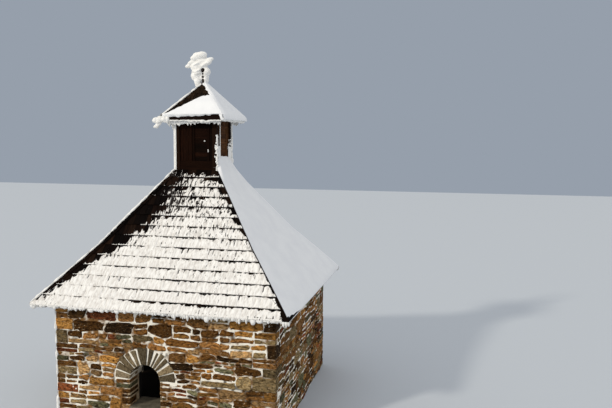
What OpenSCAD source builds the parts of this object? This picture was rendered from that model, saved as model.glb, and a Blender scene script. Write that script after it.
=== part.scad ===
// Small stone chapel with a pyramid roof, a boarded turret and a cross, all in millimetres.
// The foot of the walls is at z = 0, the front wall faces -Y and the uphill wall faces +X.

/* [Walls] */
// Outside length of each wall
wall_side = 4500; // [3800:50:5600]
// Thickness of the stone walls
wall_t = 500; // [350:10:650]
// Height of the roof's lower edge above the foot of the walls
eave_z = 2450; // [2350:10:3000]
// Thickness of the stone floor
floor_t = 120; // [60:10:200]

/* [Windows] */
// Clear width of a window
window_w = 640; // [400:10:900]
// Place of a window along its wall, from the middle towards the valley
window_shift = 370; // [0:10:600]
// Height of a window's sill
window_sill_z = 450; // [300:10:700]
// Height where the window's arch springs
window_spring_z = 985; // [800:5:1200]
// Thickness of a sill stone
sill_t = 80; // [40:5:140]
// Distance that a sill stone stands out of the wall
sill_out = 40; // [10:5:90]

/* [Doorway] */
// Clear width of the doorway
door_w = 850; // [700:10:1100]
// Height where the doorway's arch springs
door_spring_z = 1430; // [1200:10:1500]

/* [Arches] */
// Length of an arch stone, from the opening outwards
arch_depth = 340; // [150:10:400]
// Number of stones in an arch
arch_stones = 13; // [7:2:19]

/* [Roof] */
// Distance that the roof reaches past the walls
overhang = 350; // [200:10:500]
// Pitch of the lower, flared part of the roof, in degrees
lower_pitch = 47.8; // [44:0.1:49]
// Pitch of the upper part of the roof, in degrees
upper_pitch = 52.3; // [50:0.1:56]
// Visible length of a shingle course, along the slope
course = 242.5; // [200:2.5:280]
// Number of courses on the flared part
flare_courses = 6; // [4:1:7]
// Thickness of the shingle cover at a course's lower edge
shingle_t = 35; // [24:1:50]
// Step between two courses
shingle_step = 18; // [8:1:22]
// Thickness of the boards under the shingles
board_t = 25; // [18:1:35]

/* [Rafters] */
// Width of a rafter
rafter_w = 80; // [60:5:110]
// Depth of a rafter, square to the slope
rafter_h = 120; // [90:5:150]
// Distance between rafters
rafter_gap = 470; // [400:10:600]
// Width of a hip rafter
hip_w = 120; // [90:5:150]
// Distance of a rafter's tail from the roof's edge, along the slope
tail_in = 40; // [10:5:90]
// Width of a wall plate
plate_w = 160; // [120:5:200]
// Height of a wall plate
plate_h = 160; // [120:5:200]
// Distance of a wall plate from the wall's outer face
plate_in = 90; // [60:5:150]
// Depth of the seat that a rafter has on its wall plate
seat_h = 45; // [20:5:60]

/* [Turret] */
// Outside width of the turret
turret_w = 940; // [800:10:1200]
// Height from the roof to the cap's lower edge
turret_h = 1145; // [900:5:1400]
// Side of a corner post
post_w = 100; // [80:5:130]
// Thickness of the boards behind a side's frame
panel_t = 25; // [18:1:35]
// Thickness of a side's frame, in front of the boards
frame_t = 35; // [20:1:45]
// Distance that a side's frame stands back from the posts' faces
frame_in = 12; // [5:1:20]
// Height of the bottom rail above the roof
bottom_rail_h = 180; // [120:10:250]
// Height of the top rail
top_rail_h = 110; // [80:10:160]
// Width of the boards left of the hatch, seen from outside
left_stile_w = 200; // [100:10:240]
// Width of the board right of the hatch
right_stile_w = 110; // [80:10:200]

/* [Cap] */
// Distance that the cap reaches past the turret
cap_overhang = 190; // [140:5:300]
// Pitch of the cap, in degrees
cap_pitch = 47.3; // [42:0.1:52]
// Thickness of the cap's boards and shingles
cap_t = 45; // [30:1:60]
// Height of the fascia boards
fascia_h = 115; // [60:5:140]
// Thickness of the fascia boards
fascia_t = 25; // [18:1:35]
// Height of the beam under the cap
head_h = 120; // [90:5:160]

/* [Finial] */
// Side of the king post
king_w = 80; // [60:5:110]
// Length of the king post
king_len = 560; // [400:10:600]
// Radius of the finial's rod
rod_r = 26; // [18:1:28]
// Length of the finial's tapered foot
foot_len = 60; // [40:5:90]
// Height of the orb's centre above the king post
orb_up = 270; // [180:5:340]
// Radius of the orb
orb_r = 50; // [35:1:70]
// Height of the cross
cross_h = 310; // [260:5:400]
// Length of the cross's arm from tip to tip
cross_w = 300; // [200:5:400]
// Height of the arm's middle above the foot of the cross
arm_up = 190; // [150:5:220]
// Width of the cross's bars, seen from the front
bar_w = 44; // [30:2:60]
// Thickness of the cross's bars
bar_t = 30; // [16:1:40]

/* [Snow] */
// Thickness of the snow on the uphill roof face
snow_t = 60; // [40:5:140]
// Thickness of that snow at the roof's lower edge
snow_edge_t = 30; // [15:5:60]
// Height of the heap against the turret, above the roof
heap_h = 290; // [200:10:400]
// Thickness of the snow on the cap's uphill face
cap_snow_t = 40; // [20:5:60]
// Distance that this snow hangs out past the cap
cap_snow_out = 95; // [20:5:120]
// Thickness of this snow at its outer edge
cap_snow_edge = 45; // [20:5:70]
// Thickness of the rime on the cross
rime_t = 200; // [160:5:240]
// Distance that the rime grows towards the valley
rime_reach = 410; // [360:5:480]

/* [Hidden] */

stone = [0.45, 0.36, 0.26];
grey_stone = [0.42, 0.42, 0.36];
timber = [0.33, 0.22, 0.14];
dark_shingle = [0.16, 0.12, 0.09];
turret_wood = [0.22, 0.13, 0.08];
iron = [0.12, 0.12, 0.12];
snow = [0.93, 0.94, 0.96];

// Turns from the front side to each side of the square plan
FRONT = 0;
RIGHT = 90;
BACK = 180;
LEFT = 270;

wall_half = wall_side / 2;
room_half = wall_half - wall_t;
eave_half = wall_half + overhang;
turret_half = turret_w / 2;

// Roof slope: the flared part ends at the bend, and the upper part runs on to the turret
flare_len = flare_courses * course;
bend_u = eave_half - flare_len * cos(lower_pitch);
bend_z = eave_z + flare_len * sin(lower_pitch);
roof_top_z = bend_z + (bend_u - turret_half) * tan(upper_pitch);
upper_len = (bend_u - turret_half) / cos(upper_pitch);
upper_courses = ceil(upper_len / course);
slope_len = flare_len + (upper_courses + 1) * course;
board_d = shingle_t;
rafter_d = board_d + board_t;
soffit_d = rafter_d + rafter_h;

// Wall plates and the tops of the walls
plate_half = wall_half - plate_in;
plate_top = eave_z + (eave_half - plate_half) * tan(lower_pitch)
  - soffit_d / cos(lower_pitch) + seat_h;
wall_top = plate_top - plate_h;

// Turret
frame_top = roof_top_z - rafter_d / cos(upper_pitch) / 2;
frame_bottom = roof_top_z - (soffit_d + panel_t) / cos(upper_pitch);
cap_half = turret_half + cap_overhang;
cap_z = roof_top_z + turret_h;
cap_under = cap_z + cap_overhang * tan(cap_pitch) - cap_t / cos(cap_pitch);
head_bottom = cap_under - head_h;
post_inner = turret_half - post_w;
apex_z = cap_z + cap_half * tan(cap_pitch);

// Finial
king_half = king_w / 2;
king_top = apex_z;
orb_z = king_top + orb_up;
orb_flat = sqrt(orb_r * orb_r - rod_r * rod_r);
cross_z = orb_z + orb_flat;
cross_top = cross_z + cross_h;
arm_z = cross_z + arm_up;

// Reach of the shapes that cut or bound others, larger than the whole chapel
far = 2 * eave_half + apex_z;
// Distance that a cut runs past the face it starts from
past = 1;

// A point of the roof, s along the slope from the edge and d below its surface
function slope_point(s, d) =
  s <= flare_len
  ? [eave_half - s * cos(lower_pitch) - d * sin(lower_pitch),
     eave_z + s * sin(lower_pitch) - d * cos(lower_pitch)]
  : [bend_u - (s - flare_len) * cos(upper_pitch) - d * sin(upper_pitch),
     bend_z + (s - flare_len) * sin(upper_pitch) - d * cos(upper_pitch)];

// The point where the two slopes meet, d below the surface
function bend_shift(d) =
  d * (1 / cos(lower_pitch) - 1 / cos(upper_pitch)) / (tan(upper_pitch) - tan(lower_pitch));
function bend_point(d) =
  [bend_u + bend_shift(d),
   bend_z - bend_shift(d) * tan(lower_pitch) - d / cos(lower_pitch)];

// The line parallel to the roof's surface, d below it
function slope_line(d, from = 0) = [slope_point(from, d), bend_point(d), slope_point(slope_len, d)];

// The stepped line of the shingle courses, with an upright edge at each step
function shingle_line() = [
  for (i = [0 : flare_courses + upper_courses])
    let (start = slope_point(i * course, 0),
         end = slope_point((i + 1) * course, 0),
         drop = shingle_step / cos(i < flare_courses ? lower_pitch : upper_pitch))
      each [start, [end[0], end[1] - drop]]
];

function reversed(list) = [for (i = [len(list) - 1 : -1 : 0]) list[i]];

// A profile of [distance from the middle, height], drawn out along the front side
module drawn_out(profile, half) {
  rotate([90, 0, 90])
    translate([0, 0, -half])
      linear_extrude(2 * half)
        polygon([for (p = profile) [-p[0], p[1]]]);
}

// The part of the plan that belongs to the front side, from one distance to another
module side_wedge(from, to) {
  linear_extrude(far)
    polygon([[from, -from], [to, -to], [-to, -to], [-from, -from]]);
}

// A roof layer on one side, mitred at both hips
module side_layer(profile, from, to) {
  intersection() {
    drawn_out(profile, to);
    side_wedge(from, to);
  }
}

// Outline of an arched opening, with flat stones in its arch
function arch_points(r, spring) = [
  for (i = [0 : arch_stones])
    [r * cos(180 * i / arch_stones), spring + r * sin(180 * i / arch_stones)]
];
module arch_ring_outline(w, spring) {
  polygon(concat(arch_points(w / 2 + arch_depth, spring),
                 reversed(arch_points(w / 2, spring))));
}

// Stands an outline up in the front wall, running on past both faces where it cuts
module in_front_wall(beyond = 0) {
  translate([0, -wall_half + wall_t + beyond, 0])
    rotate([90, 0, 0])
      linear_extrude(wall_t + 2 * beyond)
        children();
}

module plain_wall(half) {
  translate([-half, -wall_half, 0])
    cube([2 * half, wall_t, wall_top]);
}

module window_wall() {
  color(stone)
    difference() {
      plain_wall(wall_half);
      translate([-window_shift - window_w / 2, -wall_half - past, window_sill_z - sill_t])
        cube([window_w, wall_t + 2 * past, window_spring_z - window_sill_z + sill_t]);
      translate([-window_shift, 0, 0])
        in_front_wall(past)
          polygon(arch_points(window_w / 2 + arch_depth, window_spring_z));
    }
}

module doorway_wall() {
  color(stone)
    difference() {
      plain_wall(room_half);
      translate([-door_w / 2, -wall_half - past, -past])
        cube([door_w, wall_t + 2 * past, door_spring_z + past]);
      in_front_wall(past)
        polygon(arch_points(door_w / 2 + arch_depth, door_spring_z));
    }
}

module uphill_wall() {
  color(stone)
    plain_wall(room_half);
}

// Makes the front wall's piece for the back wall too
module front_and_back() {
  children();
  mirror([0, 1, 0]) children();
}

module window_arches() {
  color(grey_stone)
    front_and_back()
      translate([-window_shift, 0, 0])
        in_front_wall()
          arch_ring_outline(window_w, window_spring_z);
}

module doorway_arch() {
  color(grey_stone)
    in_front_wall()
      arch_ring_outline(door_w, door_spring_z);
}

module window_sills() {
  color(grey_stone)
    front_and_back()
      translate([-window_shift - window_w / 2, -wall_half - sill_out, window_sill_z - sill_t])
        cube([window_w, wall_t + sill_out, sill_t]);
}

module door_threshold() {
  color(grey_stone)
    translate([-door_w / 2, -wall_half, 0])
      cube([door_w, wall_t, floor_t]);
}

module floor_slab() {
  color(grey_stone)
    translate([-room_half, -room_half, 0])
      cube([2 * room_half, 2 * room_half, floor_t]);
}

module wall_plate(half) {
  translate([-half, -plate_half, wall_top])
    cube([2 * half, plate_w, plate_h]);
}

module front_back_plates() {
  color(timber)
    for (side = [FRONT, BACK]) rotate(side) wall_plate(plate_half);
}

// The side plates stand between the other two
module side_plates() {
  color(timber)
    for (side = [LEFT, RIGHT]) rotate(side) wall_plate(plate_half - plate_w);
}

rafter_profile = concat(slope_line(rafter_d, tail_in), reversed(slope_line(soffit_d, tail_in)));
// Rafters on each half of a side, the first half a gap from the middle
rafter_count = floor((eave_half - hip_w) / rafter_gap + 0.5);
// Distance along the eaves from the hip's line to the face of the hip rafter
hip_reach = hip_w / 2 * sqrt(2);

// Rafters of one side, cut where they meet the hip rafters and seated on the wall plate
module side_rafters() {
  color(timber)
    difference() {
      intersection() {
        for (i = [-rafter_count : rafter_count - 1])
          translate([(i + 0.5) * rafter_gap, 0, 0])
            drawn_out(rafter_profile, rafter_w / 2);
        translate([0, -hip_reach, 0])
          side_wedge(0, eave_half);
        translate([-eave_half, -eave_half, 0])
          cube([2 * eave_half, eave_half - turret_half, far]);
      }
      front_back_plates();
      side_plates();
    }
}

// A hip rafter, whose top is bevelled to both roof faces
module hip_rafter() {
  intersection() {
    union() {
      side_layer(rafter_profile, turret_half, eave_half);
      rotate(LEFT) side_layer(rafter_profile, turret_half, eave_half);
    }
    rotate(45)
      translate([-far, -hip_w / 2, 0])
        cube([far, hip_w, far]);
  }
}

module hip_rafters() {
  color(timber)
    difference() {
      for (side = [FRONT, RIGHT, BACK, LEFT]) rotate(side) hip_rafter();
      front_back_plates();
      side_plates();
    }
}

module roof_boards() {
  color(timber)
    side_layer(concat(slope_line(board_d), reversed(slope_line(rafter_d))), turret_half, eave_half);
}

module shingles() {
  color(dark_shingle)
    side_layer(concat(shingle_line(), reversed(slope_line(board_d))), turret_half, eave_half);
}

// Snow on the uphill face, thin at the roof's edge and heaped against the turret
heap_u = turret_half + heap_h;
heap_z = bend_z + (bend_u - heap_u) * tan(upper_pitch);
module roof_snow() {
  color(snow)
    union() {
      side_layer(
        concat(
          [[eave_half, eave_z + snow_edge_t], slope_point(course / 2, -snow_t),
           bend_point(-snow_t), slope_point(slope_len, -snow_t)],
          reversed(shingle_line())),
        turret_half, eave_half);
      drawn_out(
        [[turret_half, roof_top_z + snow_t], [turret_half, roof_top_z + heap_h],
         [heap_u, heap_z + snow_t]],
        post_inner);
    }
}

module square_ring(outer, inner, bottom, top) {
  translate([0, 0, bottom])
    linear_extrude(top - bottom)
      difference() {
        square(2 * outer, center = true);
        square(2 * inner, center = true);
      }
}

module turret_base_frame() {
  color(timber)
    square_ring(turret_half, post_inner, frame_bottom, frame_top);
}

module turret_posts() {
  color(turret_wood)
    for (x = [-1, 1], y = [-1, 1])
      translate([x * (turret_half - post_w / 2), y * (turret_half - post_w / 2), frame_top])
        translate([-post_w / 2, -post_w / 2, 0])
          cube([post_w, post_w, head_bottom - frame_top]);
}

// Boards between two posts, with a frame round the hatch in front of them
module turret_panel() {
  face = -turret_half + frame_in;
  rail_top = roof_top_z + bottom_rail_h;
  color(turret_wood)
    difference() {
      translate([-post_inner, face, frame_top])
        cube([2 * post_inner, frame_t + panel_t, head_bottom - frame_top]);
      translate([-post_inner + left_stile_w, face - past, rail_top])
        cube([2 * post_inner - left_stile_w - right_stile_w, frame_t + past,
              head_bottom - top_rail_h - rail_top]);
    }
}

cap_edge = cap_half - fascia_t;
function cap_height(u, d) = cap_z + (cap_half - u) * tan(cap_pitch) - d / cos(cap_pitch);

module cap_side() {
  color(dark_shingle)
    side_layer(
      [[cap_edge, cap_height(cap_edge, 0)], [king_half, cap_height(king_half, 0)],
       [king_half, cap_height(king_half, cap_t)], [cap_edge, cap_height(cap_edge, cap_t)]],
      king_half, cap_edge);
}

// Snow on the cap's uphill face, hanging out past the fascia
module cap_snow() {
  snow_half = cap_half + cap_snow_out;
  color(snow)
    side_layer(
      [[cap_half, cap_z - fascia_h], [snow_half, cap_z - fascia_h],
       [snow_half, cap_z - fascia_h + cap_snow_edge], [cap_half, cap_height(cap_half, -cap_snow_t)],
       [king_half, cap_height(king_half, -cap_snow_t)], [king_half, cap_height(king_half, 0)],
       [cap_half, cap_z]],
      king_half, snow_half);
}

module cap_fascia() {
  color(dark_shingle)
    difference() {
      square_ring(cap_half, cap_edge, cap_z - fascia_h, cap_height(cap_edge, 0));
      for (side = [FRONT, RIGHT, BACK, LEFT])
        rotate(side)
          drawn_out([[cap_half, cap_z], [cap_half + past, cap_z], [cap_half + past, cap_z + fascia_h],
                     [cap_edge - past, cap_z + fascia_h],
                     [cap_edge - past, cap_height(cap_edge - past, 0)]],
                    far);
    }
}

// Beam under the cap, bevelled on top to the cap's slopes
module turret_head_frame() {
  color(timber)
    for (side = [FRONT, RIGHT, BACK, LEFT])
      rotate(side)
        side_layer(
          [[turret_half, head_bottom], [turret_half, cap_under],
           [post_inner, cap_height(post_inner, cap_t)], [post_inner, head_bottom]],
          post_inner, turret_half);
}

module king_post() {
  color(timber)
    translate([-king_half, -king_half, king_top - king_len])
      cube([king_w, king_w, king_len]);
}

module finial_rod() {
  color(iron)
    translate([0, 0, king_top]) {
      cylinder(h = foot_len, r1 = king_half, r2 = rod_r, $fn = 48);
      cylinder(h = orb_up - orb_flat, r = rod_r, $fn = 48);
    }
}

module orb() {
  color(iron)
    translate([0, 0, orb_z])
      intersection() {
        sphere(r = orb_r, $fn = 64);
        cube([3 * orb_r, 3 * orb_r, 2 * orb_flat], center = true);
      }
}

module cross() {
  color(iron)
    union() {
      translate([-bar_w / 2, -bar_t / 2, cross_z])
        cube([bar_w, bar_t, cross_h]);
      translate([-cross_w / 2, -bar_t / 2, arm_z - bar_w / 2])
        cube([cross_w, bar_t, bar_w]);
    }
}

// Rime on the cross: lumps that grow towards the valley and leave the rod bare in front
module rime_lump(from, to, r_from, r_to) {
  hull() {
    translate(from) sphere(r = r_from, $fn = 14);
    translate(to) sphere(r = r_to, $fn = 14);
  }
}
module cross_rime() {
  r = rime_t / 2;
  behind = rod_r + r / 2;
  color(snow)
    difference() {
      union() {
        // Top
        rime_lump([r - 0.7 * rime_reach, 0, cross_top - r / 2],
                  [-r / 4, 0, cross_top - r / 2], r, r);
        // Towards the valley
        rime_lump([0.8 * r - rime_reach, 0, cross_z + r / 2], [-r, 0, arm_z - r / 2], 0.8 * r, r);
        // Towards the hill
        rime_lump([cross_w / 2, 0, arm_z - r / 4], [-r / 2, 0, arm_z - r / 2], 0.75 * r, r);
        // Lower part on the valley side
        rime_lump([r - 0.7 * rime_reach, 0, king_top + 1.3 * r], [-1.5 * r, 0, cross_z], r, r);
        // Lower part on the hill side, behind the rod
        rime_lump([r / 2, behind, king_top + 1.3 * r], [r / 4, behind, cross_z + r], 0.8 * r, r);
      }
      cross();
      orb();
      finial_rod();
      king_post();
      translate([-orb_r, -rime_t, king_top])
        cube([2 * orb_r, rime_t, orb_z - king_top]);
    }
}

window_wall();  // front_wall
mirror([0, 1, 0]) window_wall();  // back_wall
rotate(LEFT) doorway_wall();  // left_wall
rotate(RIGHT) uphill_wall();  // right_wall
floor_slab();
window_arches();
rotate(LEFT) doorway_arch();
window_sills();
rotate(LEFT) door_threshold();
front_back_plates();
side_plates();
hip_rafters();
side_rafters();  // front_rafters
rotate(RIGHT) side_rafters();  // right_rafters
rotate(BACK) side_rafters();  // back_rafters
rotate(LEFT) side_rafters();  // left_rafters
roof_boards();  // front_roof_boards
rotate(RIGHT) roof_boards();  // right_roof_boards
rotate(BACK) roof_boards();  // back_roof_boards
rotate(LEFT) roof_boards();  // left_roof_boards
shingles();  // front_shingles
rotate(RIGHT) shingles();  // right_shingles
rotate(BACK) shingles();  // back_shingles
rotate(LEFT) shingles();  // left_shingles
turret_base_frame();
turret_posts();
turret_panel();  // turret_front_panel
rotate(RIGHT) turret_panel();  // turret_right_panel
rotate(BACK) turret_panel();  // turret_back_panel
rotate(LEFT) turret_panel();  // turret_left_panel
turret_head_frame();
cap_side();  // cap_front
rotate(RIGHT) cap_side();  // cap_right
rotate(BACK) cap_side();  // cap_back
rotate(LEFT) cap_side();  // cap_left
cap_fascia();
king_post();
finial_rod();
orb();
cross();
rotate(RIGHT) roof_snow();
rotate(RIGHT) cap_snow();
cross_rime();
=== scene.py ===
"""Looks of the small stone chapel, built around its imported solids.

Metres, +Z up. The front wall faces -Y, the wind comes from -X and the hill is on the +X side.
What belongs to one side is laid out as for the front and then turned to its side.
"""

import math
from itertools import pairwise

import bmesh
import bpy
import numpy as np
from mathutils import Matrix, Vector


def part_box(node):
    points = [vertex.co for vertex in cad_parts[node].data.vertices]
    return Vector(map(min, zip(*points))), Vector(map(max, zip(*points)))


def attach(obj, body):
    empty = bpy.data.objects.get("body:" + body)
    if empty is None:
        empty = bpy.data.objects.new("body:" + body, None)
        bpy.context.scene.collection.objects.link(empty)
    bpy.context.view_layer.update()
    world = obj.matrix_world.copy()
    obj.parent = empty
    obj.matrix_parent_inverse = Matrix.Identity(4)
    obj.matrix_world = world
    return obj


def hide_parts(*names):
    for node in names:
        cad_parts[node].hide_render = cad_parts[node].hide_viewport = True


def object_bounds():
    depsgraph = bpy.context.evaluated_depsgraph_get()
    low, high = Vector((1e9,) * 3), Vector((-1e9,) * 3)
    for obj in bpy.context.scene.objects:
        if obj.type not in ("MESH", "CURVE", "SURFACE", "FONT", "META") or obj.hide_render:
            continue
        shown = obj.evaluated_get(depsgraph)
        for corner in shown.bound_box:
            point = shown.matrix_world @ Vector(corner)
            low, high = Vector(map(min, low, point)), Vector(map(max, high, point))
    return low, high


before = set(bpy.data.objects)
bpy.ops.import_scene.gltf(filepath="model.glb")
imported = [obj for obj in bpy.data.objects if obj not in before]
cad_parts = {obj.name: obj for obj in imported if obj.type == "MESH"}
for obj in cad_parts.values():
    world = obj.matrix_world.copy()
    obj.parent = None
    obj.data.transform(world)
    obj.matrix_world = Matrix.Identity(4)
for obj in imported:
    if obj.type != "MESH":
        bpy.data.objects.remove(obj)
CAD_LOW, CAD_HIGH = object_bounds()

# The four sides of the square plan, as quarter turns from the front
FRONT, RIGHT, BACK, LEFT = range(4)
SIDE_NAMES = ("front", "right", "back", "left")
ALONG_X, ALONG_Y, UPRIGHT = (1, 0, 0), (0, 1, 0), (0, 0, 1)

# Walls
WALL_HALF, WALL_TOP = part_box("front_wall")[1].x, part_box("front_wall")[1].z
ROOM_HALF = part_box("right_wall")[0].x
# How far the arch stones reach beyond an opening
RING_W = 0.34
SILL_LOW, SILL_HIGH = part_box("window_sills")
WINDOW_HALF, WINDOW_X = (SILL_HIGH.x - SILL_LOW.x) / 2, (SILL_HIGH.x + SILL_LOW.x) / 2
WINDOW_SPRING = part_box("window_arches")[0].z
DOOR_HALF, DOOR_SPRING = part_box("door_threshold")[1].y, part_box("doorway_arch")[0].z
# Arched openings by side: middle, half width, foot and spring of the arch
OPENINGS = {
    FRONT: (WINDOW_X, WINDOW_HALF, SILL_LOW.z, WINDOW_SPRING),
    BACK: (-WINDOW_X, WINDOW_HALF, SILL_LOW.z, WINDOW_SPRING),
    LEFT: (0.0, DOOR_HALF, 0.0, DOOR_SPRING),
}

# Main roof: a flared lower part, a bend, and a steeper upper part
LOWER_PITCH, UPPER_PITCH = math.radians(47.8), math.radians(52.3)
COURSE, STEP, FLARE_COURSES = 0.2425, 0.018, 6
FLARE_LEN = FLARE_COURSES * COURSE
EAVE_HALF, EAVE_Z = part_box("front_shingles")[1].x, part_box("roof_snow")[0].z
TURRET_HALF, TURRET_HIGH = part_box("turret_posts")[1].x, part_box("turret_posts")[1].z
PANEL_HALF, PANEL_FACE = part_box("turret_front_panel")[1].x, -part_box("turret_front_panel")[0].y
BEND_U = EAVE_HALF - FLARE_LEN * math.cos(LOWER_PITCH)
BEND_Z = EAVE_Z + FLARE_LEN * math.sin(LOWER_PITCH)
ROOF_TOP_Z = BEND_Z + (BEND_U - TURRET_HALF) * math.tan(UPPER_PITCH)
SLOPE_LEN = FLARE_LEN + (BEND_U - TURRET_HALF) / math.cos(UPPER_PITCH)
COURSES = math.ceil(SLOPE_LEN / COURSE)

# Cap of the turret. Its edge lies above the foot of the fascia.
CAP_PITCH, CAP_EDGE_RISE = math.radians(47.3), 0.115
CAP_HALF, FASCIA_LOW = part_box("cap_fascia")[1].x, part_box("cap_fascia")[0].z
CAP_Z = FASCIA_LOW + CAP_EDGE_RISE
APEX_Z = CAP_Z + CAP_HALF * math.tan(CAP_PITCH)
CAP_LEN = CAP_HALF / math.cos(CAP_PITCH)


# Random numbers and noise, the same at each run

def lattice(ix, iy, seed):
    """A fixed number from 0 to 1 for each whole-number place."""
    n = (ix * 374761393 + iy * 668265263 + seed * 974711) & 0xFFFFFFFF
    n = ((n ^ (n >> 13)) * 1274126177) & 0xFFFFFFFF
    return ((n ^ (n >> 16)) & 0xFFFF) / 0xFFFF


def noise(x, y, seed):
    """Smooth noise from -1 to 1 with one bump per unit."""
    x, y = np.broadcast_arrays(np.asarray(x, float), np.asarray(y, float))
    ix, iy = np.floor(x).astype(np.int64), np.floor(y).astype(np.int64)
    fx, fy = x - ix, y - iy
    fx, fy = fx * fx * (3 - 2 * fx), fy * fy * (3 - 2 * fy)
    a, b = lattice(ix, iy, seed), lattice(ix + 1, iy, seed)
    c, d = lattice(ix, iy + 1, seed), lattice(ix + 1, iy + 1, seed)
    return 2 * (a + (b - a) * fx + (c - a) * fy + (a - b - c + d) * fx * fy) - 1


def rough(x, y, seed, octaves=3):
    """Noise of several sizes, each half as large and half as strong as the last."""
    return sum(noise(x * 2**k, y * 2**k, seed + k) / 2**k for k in range(octaves))


def ramp(value, start, end):
    """0 below start, 1 above end, and smooth between."""
    t = np.clip((value - start) / (end - start), 0, 1)
    return t * t * (3 - 2 * t)


def nose(distance, length):
    """A rounded edge: 0 at a distance of nothing, and 1 from length on."""
    return np.sqrt(np.clip(distance / length, 0, 1))


# Meshes

def placed(name, data):
    """A new object in the scene."""
    obj = bpy.data.objects.new(name, data)
    bpy.context.scene.collection.objects.link(obj)
    return obj


def turned(points, side):
    """Points of the front side, turned to another side."""
    c, s = ((1, 0), (0, 1), (-1, 0), (0, -1))[side]
    x, y, z = np.moveaxis(np.asarray(points, float), -1, 0)
    return np.stack([c * x - s * y, s * x + c * y, z], -1)


def grid_faces(rows, cols, keep=None):
    """Quads of a grid of points, rows first. keep says which points show: a face needs one that does."""
    i, j = np.meshgrid(np.arange(rows - 1), np.arange(cols - 1), indexing="ij")
    first = i * cols + j
    faces = np.stack([first, first + 1, first + cols + 1, first + cols], -1)
    if keep is None:
        return faces.reshape(-1, 4)
    return faces[keep[:-1, :-1] | keep[1:, :-1] | keep[:-1, 1:] | keep[1:, 1:]]


def upright_grid(x_span, z_span, step):
    """A grid over an upright face: x along it and z up."""
    return np.meshgrid(*(np.arange(low, high + step / 2, step) for low, high in (x_span, z_span)))


def slope_grid(columns, first_rows, start, end, rows, eased=False):
    """A grid over a roof face: v from -1 at the near hip to 1 at the far one, and s up the slope."""
    v = np.linspace(-1, 1, columns)
    if eased:
        v = np.sin(v * math.pi / 2)
    return np.meshgrid(v, np.concatenate([first_rows, np.linspace(start, end, rows)]))


class Skin:
    """Gathers points, faces and a tint for each point into one piece."""

    def __init__(self):
        self.points, self.faces, self.tints, self.count = [], [], [], 0

    def add(self, points, faces, tint=(1, 1, 1)):
        points = np.asarray(points, float).reshape(-1, 3)
        self.points.append(points)
        self.faces.append(np.asarray(faces) + self.count)
        self.tints.append(np.broadcast_to(tint, (len(points), 3)))
        self.count += len(points)

    def grid(self, points, keep=None, tint=(1, 1, 1)):
        self.add(points, grid_faces(*points.shape[:2], keep), tint)

    def block(self, low, high, side, radius, seed=0, tint=(1, 1, 1), **shape):
        """A rounded block between two corners, turned to a side."""
        low, high = np.array(low), np.array(high)
        points, faces = rounded_block((high - low) / 2, radius, seed, **shape)
        self.add(turned(points + (low + high) / 2, side), faces, tint)

    def mesh(self, name, points):
        """A mesh of the gathered faces over the points."""
        mesh = bpy.data.meshes.new(name)
        mesh.from_pydata(points.tolist(), [], [f for block in self.faces for f in block.tolist()])
        return mesh

    def piece(self, name, material, slot, replaces=(), planes=(), smooth=True):
        """The finished object. planes are cut planes (point, normal): what is on the normal's side goes."""
        mesh = self.mesh(name, np.clip(np.concatenate(self.points), CAD_LOW, CAD_HIGH))
        colours = np.c_[np.concatenate(self.tints), np.ones(self.count)].astype(np.float32)
        mesh.attributes.new("tint", "FLOAT_COLOR", "POINT").data.foreach_set("color", colours.ravel())
        clean_mesh(mesh, planes)
        if smooth:
            mesh.shade_smooth()
        mesh.materials.append(material)
        obj = placed(name, mesh)
        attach(obj, "root")
        if replaces:
            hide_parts(*replaces)


def clean_mesh(mesh, planes):
    """Cuts a mesh at planes, closes the cuts and removes doubled points and slivers."""
    bm = bmesh.new()
    bm.from_mesh(mesh)
    bmesh.ops.remove_doubles(bm, verts=bm.verts, dist=2e-5)
    for point, normal in planes:
        geometry = bm.verts[:] + bm.edges[:] + bm.faces[:]
        cut = bmesh.ops.bisect_plane(bm, geom=geometry, plane_co=point, plane_no=normal, clear_outer=True)
        edges = [e for e in cut["geom_cut"] if isinstance(e, bmesh.types.BMEdge)]
        bmesh.ops.holes_fill(bm, edges=edges, sides=0)
    bmesh.ops.dissolve_degenerate(bm, dist=1e-5, edges=bm.edges)
    bmesh.ops.delete(bm, geom=[v for v in bm.verts if not v.link_faces], context="VERTS")
    bm.to_mesh(mesh)
    bm.free()


BOX_SIDES = [(0, 1, 2, 1), (0, 1, 2, -1), (1, 2, 0, 1), (1, 2, 0, -1), (2, 0, 1, 1), (2, 0, 1, -1)]


def rounded_block(half, radius, seed=0, lumps=0.004, cuts=(0.4, 1.3)):
    """Points and quads of a block with rounded edges and uneven faces, centred on the origin."""
    half = np.asarray(half, float)
    radius = min(radius, 0.6 * half.min())
    near = np.array([0, *cuts]) * radius
    steps = [np.concatenate([near - h, [0] * (len(cuts) > 1), (h - near)[::-1]]) for h in half]
    n = len(steps[0])
    points, faces = [], []
    for a, b, c, sign in BOX_SIDES:
        first, second = np.meshgrid(steps[a], steps[b], indexing="ij")
        side = np.empty(first.shape + (3,))
        side[..., a], side[..., b], side[..., c] = first, second, sign * half[c]
        quads = grid_faces(n, n) + n * n * len(points)
        faces.append(quads[:, ::-1] if sign > 0 else quads)
        points.append(side.reshape(-1, 3))
    points = np.concatenate(points)
    core = np.clip(points, -(half - radius), half - radius)
    away = points - core
    away /= np.maximum(np.linalg.norm(away, axis=1, keepdims=True), 1e-9)
    x, y, z = points.T
    bump = noise(x * 9 + z * 4, y * 9 + z * 7, seed) + noise(z * 11 - y * 5, x * 8 + y * 3, seed + 5)
    return core + away * (radius + lumps * bump[:, None]), np.concatenate(faces)


# Materials

def colour(red, green, blue):
    """An sRGB colour, 0 to 255, as the linear colour that a shader takes."""
    linear = [c / 12.92 if c <= 0.04045 else ((c + 0.055) / 1.055) ** 2.4
              for c in (red / 255, green / 255, blue / 255)]
    return (*linear, 1)


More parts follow.
